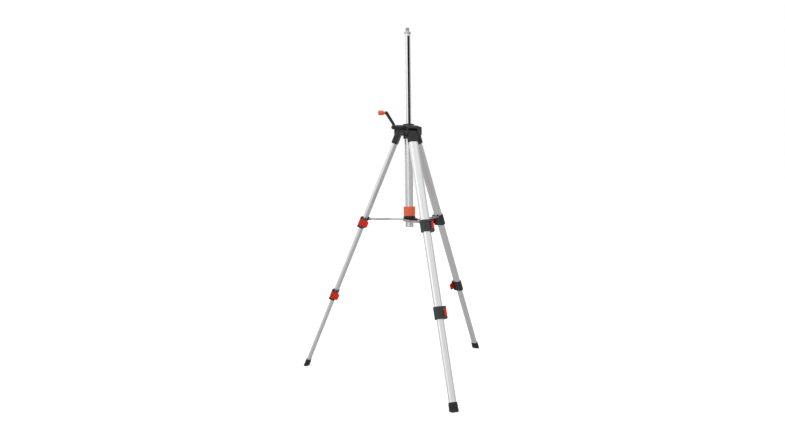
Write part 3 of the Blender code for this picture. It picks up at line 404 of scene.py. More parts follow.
def finish_mesh(name, shape):
    bmesh.ops.recalc_face_normals(shape, faces=shape.faces)
    mesh = bpy.data.meshes.new(name)
    shape.to_mesh(mesh)
    shape.free()
    return mesh


def loft(name, loops, closed=False):
    """Skins loops with equal point counts; a closed loft joins the last to the first."""
    shape = bmesh.new()
    rows = [[shape.verts.new(point) for point in points] for points in loops]
    pairs = list(zip(rows, rows[1:]))
    if closed:
        pairs.append((rows[-1], rows[0]))
    for below, above in pairs:
        count = len(below)
        for i in range(count):
            shape.faces.new((below[i], below[(i + 1) % count], above[(i + 1) % count], above[i]))
    if not closed:
        shape.faces.new(list(reversed(rows[0])))
        shape.faces.new(rows[-1])
    return finish_mesh(name, shape)


def prism(outline, low, high):
    return loft("prism", [level(outline, low), level(outline, high)])


def side_prism(outline, low, high):
    return loft("side", [[(x, y, z) for y, z in outline] for x in (low, high)])


def front_prism(outline, low, high):
    return loft("front", [[(x, y, z) for x, z in outline] for y in (low, high)])


def box(low, high):
    outline = [(low[0], low[1]), (high[0], low[1]), (high[0], high[1]), (low[0], high[1])]
    return prism(outline, low[2], high[2])


def turned(profile, count=64, closed=True):
    return loft("turned", [level(circle(radius, count), z) for radius, z in profile], closed)


def capped(profile, count):
    """A turned solid with a flat disc at each end of its profile."""
    return turned(profile, count, closed=False)


def rod(radius, low, high, count=32):
    return capped([(radius, low), (radius, high)], count)


def add_object(name, data):
    obj = bpy.data.objects.new(name, data)
    bpy.context.scene.collection.objects.link(obj)
    return obj


def evaluated_mesh(obj):
    bpy.context.view_layer.update()
    graph = bpy.context.evaluated_depsgraph_get()
    return bpy.data.meshes.new_from_object(obj.evaluated_get(graph))


def shaped(mesh, steps=(), bevel=0.0, segments=2):
    """The mesh after Boolean steps of (operation, mesh, its place), with rounded edges."""
    obj = add_object("work", mesh)
    helpers = []
    for operation, other, place in steps:
        helper = add_object("helper", other)
        helper.matrix_world = place
        modifier = obj.modifiers.new("Step", "BOOLEAN")
        modifier.operation = operation
        modifier.object = helper
        modifier.solver = "EXACT"
        helpers.append(helper)
    if bevel:
        edge = obj.modifiers.new("Edges", "BEVEL")
        edge.width = bevel
        edge.segments = segments
        edge.limit_method = "ANGLE"
        edge.angle_limit = math.radians(40)
        edge.use_clamp_overlap = True
    made = evaluated_mesh(obj)
    for item in [obj, *helpers]:
        bpy.data.objects.remove(item)
    return made


def stand_for(node, mesh, at, material=None):
    """A finer piece in a solid's place."""
    piece = add_object(f"fine_{node}", mesh)
    piece.matrix_world = at
    mesh.materials.clear()
    mesh.materials.append(material or MATERIALS[SLOT_OF[node]])
    mesh.shade_smooth()
    mesh.set_sharp_from_angle(angle=math.radians(48))
    normals = piece.modifiers.new("Normals", "WEIGHTED_NORMAL")
    normals.keep_sharp = True
    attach(piece, BODY_OF[node])
    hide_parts(node)


def local(at):
    """A place in the shared frame, as seen from the tripod's axis."""
    return AXIS_FRAME.inverted() @ at


CUT = "DIFFERENCE"
JOIN = "UNION"
HERE = Matrix.Identity(4)


# Head ---------------------------------------------------------------------------------------------


def arm_outline():
    corner = 7 * MM
    low, high = 0.974, 1.0085
    return [
        (5 * MM, low),
        *arc_points((-ARM_REACH + corner, low + corner), corner, 270, 180, 8),
        *arc_points((-ARM_REACH + 3.5 * MM, high - 3.5 * MM), 3.5 * MM, 180, 100, 6),
        (-24 * MM, HEAD_TOP),
        (5 * MM, HEAD_TOP),
    ]


def make_head():
    core = [
        (20.5 * MM, 0.961),
        (21.5 * MM, 0.962),
        (21.5 * MM, 0.9725),
        (30 * MM, 0.977),
        (31 * MM, 1.006),
        (24.5 * MM, HEAD_TOP + 0.2 * MM),
    ]
    steps = []
    width = SLOT_HALF + CHEEK
    for leg in LEGS:
        steps.append((JOIN, side_prism(arm_outline(), -width, width), leg_radial(leg)))
    boss = [(9.0 * MM, 0), (9.0 * MM, 46 * MM), (8.3 * MM, 47 * MM)]
    steps.append((JOIN, capped(boss, 40), local(on_shaft(-10 * MM))))
    ring = [(9.0 * MM, 0), (9.8 * MM, 0.6 * MM), (9.8 * MM, 2.0 * MM), (9.0 * MM, 2.6 * MM)]
    for x in (-34 * MM, -46 * MM):
        steps.append((JOIN, capped(ring, 40), local(on_shaft(x))))
    for leg in LEGS:
        radial = leg_radial(leg)
        slot = box((-SLOT_HALF, -ARM_REACH - 10 * MM, 0.95), (SLOT_HALF, -27 * MM, 0.9985))
        steps.append((CUT, slot, radial))
        hole = local(pivot_frame(leg) @ X_AXIS_TURN)
        steps.append((CUT, rod(PIN_HOLE, -0.04, 0.04), hole))
        for side in (-1, 1):
            # A round seat for the pin's head and a panel sunk in the cheek.
            seat = rod(6.6 * MM, width - 0.6 * MM, width + 1 * MM, 40)
            turn = X_AXIS_TURN if side < 0 else X_AXIS_TURN @ Matrix.Rotation(math.pi, 4, "X")
            steps.append((CUT, seat, local(pivot_frame(leg) @ turn)))
            panel = [(-32 * MM, 0.98), (-32 * MM, 1.0055), (-25.5 * MM, 1.007), (-25.5 * MM, 0.98)]
            low, high = sorted((side * (width - 0.7 * MM), side * (width + 1 * MM)))
            steps.append((CUT, side_prism(panel, low, high), radial))
        # A long shallow recess in the arm's top.
        top = [(-47 * MM, 1.0095), (-47 * MM, 1.02), (-27 * MM, 1.02), (-27 * MM, 1.0122)]
        steps.append((CUT, side_prism(top, -14 * MM, 14 * MM), radial))
    bore = [
        (TUBE_RADIUS + FIT_GAP, 0.95),
        (TUBE_RADIUS + FIT_GAP, TUBE_TOP + FIT_GAP),
        (COLUMN_RADIUS + 0.4 * MM, TUBE_TOP + 0.45 * MM),
        (COLUMN_RADIUS + 0.4 * MM, 1.03),
    ]
    steps.append((CUT, capped(bore, 64), HERE))
    pocket = box((-4.2 * MM, PINION_Y - 8.2 * MM, PINION_Z - 8.2 * MM), (4.2 * MM, -8 * MM, 1.03))
    steps.append((CUT, pocket, HERE))
    shaft = local(on_shaft(0))
    steps.append((CUT, rod(PIN_HOLE, -13 * MM, 0.08), shaft))
    steps.append((CUT, rod(6.3 * MM, 48 * MM, 0.08, 40), shaft))
    stand_for("head_housing", shaped(capped(core, 72), steps, 0.7 * MM), AXIS_FRAME)

    hole = COLUMN_RADIUS + 0.4 * MM
    low, high = HEAD_TOP + 0.5 * MM, HEAD_TOP + 6 * MM
    cover = [
        (hole, low),
        (23.1 * MM, low),
        (23.5 * MM, low + 0.4 * MM),
        (23.5 * MM, high - 2.6 * MM),
        (23.1 * MM, high - 1.7 * MM),
        (21.6 * MM, high - 0.4 * MM),
        (20.8 * MM, high),
        (16.4 * MM, high),
        (16.1 * MM, high - 0.5 * MM),
        (15.2 * MM, high - 0.5 * MM),
        (14.9 * MM, high),
        (hole + 1.2 * MM, high),
        (hole, high - 1.2 * MM),
    ]
    stand_for("head_cover", turned(cover, 96), AXIS_FRAME)

    inner = 3.2 * MM
    bush = [
        (inner, 0),
        (6.0 * MM, 0),
        (6.0 * MM, 8.7 * MM),
        (7.6 * MM, 9.3 * MM),
        (7.6 * MM, 10.6 * MM),
        (7.0 * MM, 11.2 * MM),
        (4.4 * MM, 11.2 * MM),
        (4.0 * MM, 10.6 * MM),
        (inner, 10.6 * MM),
    ]
    stand_for("shaft_bush", turned(bush, 48), on_shaft(-48.3 * MM))

    for leg in LEGS:
        outer = width + FIT_GAP
        pin = rivet_pin(outer, outer + 2.4 * MM, 3.0 * MM, 5.4 * MM, 1.7 * MM)
        stand_for(f"leg_pin_{leg}", pin, pivot_frame(leg) @ X_AXIS_TURN)


def rivet_pin(half_length, head_half, radius, head_radius, dimple):
    """A pin about Z with a domed, dimpled head at each end."""

    def head(sign):
        dome = head_half - half_length
        points = [(head_radius, half_length + 0.12 * dome)]
        points += [
            (head_radius * math.cos(a), half_length + dome * (0.12 + 0.88 * math.sin(a)))
            for a in (math.radians(d) for d in (25, 45, 60))
        ]
        points += [(dimple, head_half - 0.05 * dome), (dimple * 0.6, half_length + 0.55 * dome)]
        return [(r, sign * z) for r, z in points]

    low = list(reversed(head(-1)))
    profile = [*low, (head_radius - 0.2 * MM, -half_length), (radius, -half_length)]
    profile += [(radius, half_length), (head_radius - 0.2 * MM, half_length), *head(1)]
    return capped(profile, 36)


def make_centre_tube():
    rim = 0.35 * MM
    profile = [
        (TUBE_BORE, TUBE_BOTTOM + rim),
        (TUBE_BORE + rim, TUBE_BOTTOM),
        (TUBE_RADIUS - rim, TUBE_BOTTOM),
        (TUBE_RADIUS, TUBE_BOTTOM + rim),
        (TUBE_RADIUS, TUBE_TOP),
        (TUBE_BORE, TUBE_TOP),
    ]
    stand_for("centre_tube", turned(profile, 96), AXIS_FRAME)
    outer = TUBE_BORE - FIT_GAP
    cap = [
        (outer - 0.8 * MM, TUBE_BOTTOM + 0.4 * MM),
        (outer, TUBE_BOTTOM + 1.2 * MM),
        (outer, TUBE_BOTTOM + 6 * MM),
        (4 * MM, TUBE_BOTTOM + 6 * MM),
        (4 * MM, TUBE_BOTTOM + 2.0 * MM),
        (5 * MM, TUBE_BOTTOM + 1.4 * MM),
        (10.4 * MM, TUBE_BOTTOM + 1.4 * MM),
        (11.2 * MM, TUBE_BOTTOM + 0.4 * MM),
    ]
    stand_for("tube_end_cap", turned(cap, 64), AXIS_FRAME)


# Column -------------------------------------------------------------------------------------------


def thread_mesh():
    """A 5/8 in stud with 11 turns to the inch, its thread faded out at both ends."""
    around = 72
    pitch = 25.4 * MM / 11
    radius = 7.94 * MM
    depth = 1.15 * MM
    stem = 5.44 * MM
    ridge_low = FLANGE_TOP + 0.5 * MM
    ridge_high = STUD_TOP - 0.9 * MM
    rows = 64
    step = (ridge_high - ridge_low) / rows
    loops = [level(circle(stem, around), z) for z in (FLANGE_TOP - 5.5 * MM, FLANGE_TOP)]
    loops.append(level(circle(radius - depth, around), FLANGE_TOP + 0.05 * MM))
    for row in range(rows + 1):
        z = ridge_low + row * step
        points = []
        for i in range(around):
            angle = 2 * math.pi * i / around
            phase = (z / pitch - i / around) % 1.0
            ridge = max(0.0, min(1.0, 1.25 * (1 - abs(2 * phase - 1)) - 0.12))
            fade = min(1.0, row * step / (0.8 * pitch), (rows - row) * step / (0.5 * pitch))
            here = radius - depth * (1 - ridge * fade)
            points.append((here * math.cos(angle), here * math.sin(angle), z))
        loops.append(points)
    loops.append(level(circle(radius - depth - 0.8 * MM, around), STUD_TOP))
    loops.append(level(circle(2.6 * MM, around), STUD_TOP))
    loops.append(level(circle(1.9 * MM, around), STUD_TOP - 0.9 * MM))
    return loft("stud", loops)


def make_column():
    tube = prism(circle(COLUMN_RADIUS, 96), COLUMN_BOTTOM, COLUMN_TOP)
    below, above = COLUMN_BOTTOM - 0.01, COLUMN_TOP + 0.01
    channel = box((-CHANNEL_HALF_WIDTH, -0.02, below), (CHANNEL_HALF_WIDTH, -5.8 * MM, above))
    bore = 9.7 * MM
    reach = math.degrees(math.asin(-CHANNEL_HALF_WIDTH / bore))
    hollow = prism(arc_points((0, 0), bore, reach, 180 - reach, 48), below, above)
    steps = [(CUT, channel, HERE), (CUT, hollow, HERE)]
    stand_for("column_tube", shaped(tube, steps, 0.35 * MM), AXIS_FRAME)

    flange_low = COLUMN_TOP + 0.3 * MM
    stem_hole = 5.79 * MM
    profile = [
        (stem_hole, flange_low - 6 * MM),
        (7.1 * MM, flange_low - 6 * MM),
        (7.1 * MM, flange_low),
        (12.6 * MM, flange_low),
        (13.4 * MM, flange_low + 0.6 * MM),
        (13.8 * MM, flange_low + 1.6 * MM),
        (13.8 * MM, FLANGE_TOP - 0.9 * MM),
        (13.5 * MM, FLANGE_TOP - 0.3 * MM),
        (12.9 * MM, FLANGE_TOP),
        (9.0 * MM, FLANGE_TOP),
        (8.7 * MM, FLANGE_TOP - 0.3 * MM),
        (8.7 * MM, FLANGE_TOP - 0.6 * MM),
        (stem_hole, FLANGE_TOP - 0.6 * MM),
    ]
    front = box((-10 * MM, -20 * MM, flange_low - 8 * MM), (10 * MM, -3.85 * MM, flange_low))
    steps = [(CUT, front, HERE)]
    for side in (1, -1):
        ear = [
            (side * 11 * MM, -3.2 * MM),
            (side * 15.0 * MM, -2.6 * MM),
            (side * 15.6 * MM, -1.8 * MM),
            (side * 15.6 * MM, 1.8 * MM),
            (side * 15.0 * MM, 2.6 * MM),
            (side * 11 * MM, 3.2 * MM),
        ]
        steps.append((JOIN, prism(ear, flange_low + 1.8 * MM, FLANGE_TOP - 1.0 * MM), HERE))
    stand_for("column_flange", shaped(turned(profile, 80), steps, 0.3 * MM), AXIS_FRAME, CAST)
    stand_for("thread_stud", thread_mesh(), AXIS_FRAME)


# Crank --------------------------------------------------------------------------------------------


def make_crank():
    shaft_frame = on_shaft(0)
    knob_frame = along_x(0, PINION_Y, PINION_Z + CRANK_RISE)
    arm_frame = AXIS_FRAME @ Matrix.Translation((0, PINION_Y, PINION_Z))
    into_arm = arm_frame.inverted()
    hub_x = -(HUB_START + HUB_END) / 2
    outline = [
        (hub_x + 4.2 * MM, -5 * MM),
        (hub_x + 4.2 * MM, 12 * MM),
        (-CRANK_OUT + 5.2 * MM, CRANK_RISE + 2 * MM),
        (-CRANK_OUT + 2.2 * MM, CRANK_RISE + 5.5 * MM),
        (-CRANK_OUT - 3.6 * MM, CRANK_RISE + 5.5 * MM),
        (-CRANK_OUT - 3.6 * MM, CRANK_RISE - 3 * MM),
        (hub_x - 4.6 * MM, 9 * MM),
        (hub_x - 4.6 * MM, -5 * MM),
    ]
    hub = [
        (7.4 * MM, HUB_START),
        (8.1 * MM, HUB_START + 0.3 * MM),
        (8.4 * MM, HUB_START + 1 * MM),
        (8.4 * MM, HUB_END - 1 * MM),
        (8.1 * MM, HUB_END - 0.3 * MM),
        (7.4 * MM, HUB_END),
    ]
    eye = [
        (5.6 * MM, CRANK_OUT - 4.4 * MM),
        (6.4 * MM, CRANK_OUT - 3.6 * MM),
        (6.4 * MM, CRANK_OUT + 4.0 * MM),
        (5.6 * MM, CRANK_OUT + 4.8 * MM),
    ]
    # The arm's broad sides carry a long sunk panel between hub and eye.
    slope = Vector((-CRANK_OUT - hub_x, CRANK_RISE)).normalized()
    across = Vector((slope.y, -slope.x))
    start = Vector((hub_x, 0)) + slope * 15 * MM
    end = Vector((-CRANK_OUT, CRANK_RISE)) - slope * 12 * MM
    half = 2.2 * MM
    side = across * half
    panel = [(point.x, point.y) for point in (start + side, end + side, end - side, start - side)]
    steps = [
        (JOIN, capped(hub, 48), into_arm @ shaft_frame),
        (JOIN, capped(eye, 40), into_arm @ knob_frame),
        (CUT, front_prism(panel, -8 * MM, -4.2 * MM), HERE),
        (CUT, front_prism(panel, 4.2 * MM, 8 * MM), HERE),
        (CUT, rod(3.3 * MM, 0.05, 0.08), into_arm @ shaft_frame),
        (CUT, rod(2.8 * MM, 0.08, 0.11), into_arm @ knob_frame),
        (CUT, rod(4.4 * MM, CRANK_OUT - 16 * MM, CRANK_OUT - 4.6 * MM), into_arm @ knob_frame),
    ]
    arm = front_prism(outline, -5 * MM, 5 * MM)
    stand_for("crank_arm", shaped(arm, steps, 0.8 * MM), arm_frame)

    screw = [
        (1.4 * MM, HUB_END - 8 * MM),
        (1.4 * MM, HUB_END + 0.3 * MM),
        (5.2 * MM, HUB_END + 0.3 * MM),
        (5.2 * MM, HUB_END + 1.3 * MM),
        (4.7 * MM, HUB_END + 2.2 * MM),
        (3.8 * MM, HUB_END + 2.9 * MM),
    ]
    socket = rod(1.9 * MM, HUB_END + 1.4 * MM, HUB_END + 6 * MM, 6)
    stand_for("crank_screw", shaped(capped(screw, 40), [(CUT, socket, HERE)]), shaft_frame)

    pin = [
        (3.9 * MM, CRANK_OUT - 6.2 * MM),
        (3.9 * MM, CRANK_OUT - 4.8 * MM),
        (2.5 * MM, CRANK_OUT - 4.8 * MM),
        (2.5 * MM, KNOB_END - 4.4 * MM),
        (4.4 * MM, KNOB_END - 4.4 * MM),
        (4.4 * MM, KNOB_END - 2.6 * MM),
        (4.0 * MM, KNOB_END - 1.8 * MM),
        (3.2 * MM, KNOB_END - 1.4 * MM),
    ]
    slot = box((-0.5 * MM, -6 * MM, KNOB_END - 2.4 * MM), (0.5 * MM, 6 * MM, KNOB_END))
    stand_for("knob_pin", shaped(capped(pin, 36), [(CUT, slot, HERE)]), knob_frame)

    # Radius and height in millimetres, and how deep the grips are there.
    bore = 2.85
    profile = [
        (bore, 0.0, 0),
        (4.9, 0.0, 0),
        (5.3, 0.5, 0),
        (5.6, 2.0, 0),
        (6.6, 4.6, 0),
        (7.8, 7.0, 0.3),
        (8.7, 9.2, 0.8),
        (9.3, 11.6, 1),
        (9.5, 14.0, 1),
        (9.5, 22.0, 1),
        (9.35, 24.0, 1),
        (8.9, 25.6, 0.7),
        (8.1, 26.8, 0.2),
        (6.9, 27.4, 0),
        (5.6, 27.5, 0),
        (4.9, 27.0, 0),
        (4.9, 22.7, 0),
        (bore, 22.7, 0),
    ]
    rows = [(radius * MM, KNOB_START + z * MM, share) for radius, z, share in profile]
    grips = 12

    def grip(angle):
        return max(0.0, math.cos(grips * angle)) ** 2 * 0.55 * MM

    stand_for("crank_knob", loft("knob", rippled(rows, 96, grip), closed=True), knob_frame)


# Spreader -----------------------------------------------------------------------------------------


def make_collar():
    bore = TUBE_RADIUS + 0.4 * MM
    profile = [
        (bore, COLLAR_BOTTOM + 0.8 * MM),
        (bore + 0.8 * MM, COLLAR_BOTTOM),
        (19.8 * MM, COLLAR_BOTTOM),
        (20.4 * MM, COLLAR_BOTTOM + 0.6 * MM),
        (20.4 * MM, RING_BOTTOM - 0.6 * MM),
        (22.9 * MM, RING_BOTTOM),
        (24.1 * MM, RING_BOTTOM + 1.1 * MM),
        (RING_RADIUS, RING_BOTTOM + 2.4 * MM),
        (RING_RADIUS, RING_TOP - 2.4 * MM),
        (24.1 * MM, RING_TOP - 1.1 * MM),
        (22.6 * MM, RING_TOP),
        (NECK_RADIUS, RING_TOP),
        (NECK_RADIUS, NECK_TOP),
        (bore, NECK_TOP),
    ]
    pivot_radius, pivot_height = COLLAR_PIVOT
    lug_inner = STRUT_OFFSETS[1] + STRUT_THICK / 2 + 0.3 * MM
    steps = []
    for leg in LEGS:
        radial = leg_radial(leg)
        lug = [
            (4 * MM, COLLAR_BOTTOM + 0.8 * MM),
            (4 * MM, RING_BOTTOM + 3 * MM),
            (-pivot_radius + 6 * MM, RING_BOTTOM + 1.2 * MM),
            *arc_points((-pivot_radius, pivot_height), 4.6 * MM, 70, 270, 18),
        ]
        steps.append((JOIN, side_prism(lug, lug_inner, lug_inner + 3.2 * MM), radial))
        root_low = (lug_inner + 1 * MM, -12.5 * MM, COLLAR_BOTTOM + 1.0 * MM)
        root = box(root_low, (-12 * MM, 3 * MM, RING_BOTTOM + 2.5 * MM))
        steps.append((JOIN, root, radial))
        at = Matrix.Translation((-12 * MM, -pivot_radius, pivot_height))
        steps.append((CUT, rod(2.5 * MM, 0, 0.03, 24), radial @ at @ X_AXIS_TURN))
    steps.append((CUT, rod(bore + 0.02 * MM, COLLAR_BOTTOM - 0.01, NECK_TOP + 0.01, 64), HERE))
    stand_for("collar_sleeve", shaped(turned(profile, 80), steps, 0.5 * MM), AXIS_FRAME)

    flutes = 14
    lip = bore + 0.15 * MM
    inside = 19.75 * MM
    rows = [
        (22.2 * MM, NUT_BOTTOM, 0),
        (22.7 * MM, NUT_BOTTOM + 0.5 * MM, 0),
        (23.0 * MM, NUT_BOTTOM + 1.6 * MM, 0),
        (23.0 * MM, NUT_BOTTOM + 4.2 * MM, 0),
        (23.5 * MM, NUT_BOTTOM + 5.4 * MM, 0.3),
        (24.0 * MM, NUT_BOTTOM + 7.0 * MM, 1),
        (24.0 * MM, NUT_TOP - 7.0 * MM, 1),
        (23.9 * MM, NUT_TOP - 4.0 * MM, 1),
        (23.6 * MM, NUT_TOP - 2.4 * MM, 0.8),
        (23.1 * MM, NUT_TOP - 1.2 * MM, 0.3),
        (22.4 * MM, NUT_TOP - 0.4 * MM, 0),
        (21.4 * MM, NUT_TOP, 0),
        (lip + 0.6 * MM, NUT_TOP, 0),
        (lip, NUT_TOP - 0.6 * MM, 0),
        (lip, NUT_TOP - 4 * MM, 0),
        (inside, NUT_TOP - 6 * MM, 0),
        (inside, NUT_BOTTOM, 0),
    ]

    def flute(angle):
        wave = 0.5 - 0.5 * math.cos(flutes * angle)
        return 1.5 * MM * (1 - wave**0.6)

    stand_for("collar_nut", loft("nut", rippled(rows, 168, flute), closed=True), AXIS_FRAME)


def leg_point(x, y, along):
    """A point of a spread leg, before the leg is turned to its own side."""
    turned_point = Matrix.Rotation(-LEG_TILT, 4, "X") @ Vector((x, y, -along))
    return turned_point + Vector((0, -PIVOT_RADIUS, PIVOT_HEIGHT))


def make_struts():
    outer = leg_point(0, *STRUT_PIN)
    inner = Vector((0, -COLLAR_PIVOT[0], COLLAR_PIVOT[1]))
    length = math.hypot(inner.y - outer.y, inner.z - outer.z)
    slope = math.atan2(inner.z - outer.z, inner.y - outer.y)
    radius = STRUT_HALF_HEIGHT
    set_start, set_end = 14 * MM, length - 58 * MM
    tip = arc_points((0, 0), radius, 12, 84, 6)
    stations = [(-along, height) for along, height in tip]
    stations += [(set_start + (set_end - set_start) * i / 12, radius) for i in range(13)]
    stations += [(length + along, height) for along, height in reversed(tip)]
    for leg in LEGS:
        at = AXIS_FRAME @ leg_radial(leg) @ Matrix.Translation(outer)
        at = at @ Matrix.Rotation(slope, 4, "X")
        loops = []
        for along, height in stations:
            share = min(1.0, max(0.0, (along - set_start) / (set_end - set_start)))
            share = share * share * (3 - 2 * share) * 0.6 + share * 0.4
            x = STRUT_OFFSETS[0] + share * (STRUT_OFFSETS[1] - STRUT_OFFSETS[0])
            low, high = x - STRUT_THICK / 2, x + STRUT_THICK / 2
            corners = [(low, -height), (high, -height), (high, height), (low, height)]
            loops.append([(cx, along, cz) for cx, cz in corners])
        steps = []
        for x, along in ((STRUT_OFFSETS[0], 0), (STRUT_OFFSETS[1], length)):
            place = Matrix.Translation((x, along, 0)) @ X_AXIS_TURN
            steps.append((CUT, rod(2.4 * MM, -0.01, 0.01, 32), place))
        stand_for(f"strut_{leg}", shaped(loft("strut", loops), steps, 0.45 * MM), at, ROLLED)
        face = STRUT_THICK / 2
        rivet = [
            (2.1 * MM, -face),
            (2.1 * MM, face + 0.3 * MM),
            (4.3 * MM, face + 0.3 * MM),
            (4.4 * MM, face + 0.8 * MM),
            (4.0 * MM, face + 1.4 * MM),
            (3.2 * MM, face + 1.85 * MM),
            (2.0 * MM, face + 2.1 * MM),
            (1.2 * MM, face + 2.1 * MM),
            (0.8 * MM, face + 1.7 * MM),
        ]
        place = at @ Matrix.Translation((STRUT_OFFSETS[1], length, 0)) @ X_AXIS_TURN
        stand_for(f"collar_rivet_{leg}", capped(rivet, 36), place)


# Legs ---------------------------------------------------------------------------------------------


def make_tube(node, half, low, high, at):
    rim = 0.3 * MM
    thin = TUBE_WALL

    def outside(inset, z):
        return level(grooved_oval(half[0] - inset, half[1] - inset), z)

    loops = [
        outside(rim, low),
        outside(0, low + rim),
        outside(0, high - rim),
        outside(rim, high),
        level(grooved_oval(half[0] - thin, half[1] - thin), high),
        level(grooved_oval(half[0] - thin, half[1] - thin), low),
    ]
    stand_for(node, loft("tube", loops, closed=True), at)


def make_plug(leg, at):
    radius = 11.0 * MM
    half = SLOT_HALF - END_GAP
    outline = [(-radius, -PLUG_END), (radius, -PLUG_END), *arc_points((0, 0), radius, 0, 180, 28)]
    inner = (UPPER_HALF[0] - TUBE_WALL - FIT_GAP, UPPER_HALF[1] - TUBE_WALL - FIT_GAP)
    body = shaped(side_prism(outline, -half, half), (), 2.2 * MM, 4)
    steps = [(JOIN, prism(oval(*inner), -PLUG_END - 19 * MM, -PLUG_END + 8 * MM), HERE)]
    for i in range(6):
        z = -18 * MM - i * 4.4 * MM
        low = (-12.5 * MM, -radius - 0.35 * MM, z - 0.7 * MM)
        steps.append((JOIN, box(low, (12.5 * MM, -radius + 1 * MM, z + 0.7 * MM)), HERE))
    steps.append((CUT, rod(PIN_HOLE, -0.03, 0.03), X_AXIS_TURN))
    stand_for(f"leg_plug_{leg}", shaped(body, steps), at)


def clamp_hinge(half):
    """Where the lever's axle runs up the clamp of a tube."""
    centre = half[0] - half[1]
    reach = half[1] + CLAMP_SHELL + LEVER_BOSS + 0.5 * MM
    return (centre + reach * math.cos(LEVER_SIDE), reach * math.sin(LEVER_SIDE))


def make_clamp(node, outer_tube, inner_tube, outer_end, at, lug_steps=()):
    """A clamp on the end of one tube, which is at outer_end in the clamp's frame."""
    top = CLAMP_HEIGHT / 2
    half_width = outer_tube[0] + CLAMP_BACK
    half_depth = outer_tube[1] + CLAMP_SHELL
    shift = (CLAMP_SHELL - CLAMP_BACK) / 2
    waist = 0.65 * MM

    def shell(inset, z):
        return [(x + shift, y, z) for x, y in oval(half_width + shift - inset, half_depth - inset)]

    loops = [
        shell(1.2 * MM, -top),
        shell(0.5 * MM, -top + 0.3 * MM),
        shell(0, -top + 1.2 * MM),
        shell(0, -top + EAR_HEIGHT),
        shell(waist, -top + EAR_HEIGHT + 0.7 * MM),
        shell(waist, top - EAR_HEIGHT - 0.7 * MM),
        shell(0, top - EAR_HEIGHT),
        shell(0, top - 1.2 * MM),
        shell(0.5 * MM, top - 0.3 * MM),
        shell(1.2 * MM, top),
    ]
    hinge = clamp_hinge(outer_tube)
    ear = [
        (0, -half_depth),
        (hinge[0] - 1.0 * MM, -half_depth),
        *arc_points(hinge, LEVER_BOSS, -75, 0, 10),
        (hinge[0] + LEVER_BOSS, 4 * MM),
        (hinge[0] + LEVER_BOSS - 3 * MM, half_depth - 1.5 * MM),
        (hinge[0] - 6 * MM, half_depth),
        (0, half_depth),
    ]
    steps = []
    for low, high in ((-top, -top + EAR_HEIGHT), (top - EAR_HEIGHT, top)):
        steps.append((JOIN, prism(ear, low, high), HERE))
    # Upright stiffening ribs join the two bands, at the side away from the lever.
    round_centre = (shift - (half_width + shift - half_depth), 0)
    reach = top - EAR_HEIGHT + 1 * MM
    for start in (107, 145, 207, 245):
        outside = arc_points(round_centre, half_depth, start, start + 8, 4)
        inside = arc_points(round_centre, half_depth - 1.4 * MM, start + 8, start, 4)
        steps.append((JOIN, prism(outside + inside, -reach, reach), HERE))
    notch_low = (outer_tube[0] - outer_tube[1], NOTCH_SIDES[0], top - NOTCH_DEPTH)
    steps.append((CUT, box(notch_low, (50 * MM, NOTCH_SIDES[1], top + 10 * MM)), HERE))
    steps += lug_steps
    step_at = outer_end - END_GAP
    wide = (outer_tube[0] + FIT_GAP, outer_tube[1] + FIT_GAP)
    narrow = (inner_tube[0] + FIT_GAP, inner_tube[1] + FIT_GAP)
    steps.append((CUT, prism(oval(*wide), step_at, top + 0.01), HERE))
    steps.append((CUT, prism(oval(*narrow), -top - 0.01, step_at + 0.001), HERE))
    axle = rod(2.3 * MM, -top + 2 * MM, top - 2 * MM, 24)
    steps.append((CUT, axle, Matrix.Translation((*hinge, 0))))
    stand_for(node, shaped(loft("clamp", loops), steps, 0.45 * MM), at)


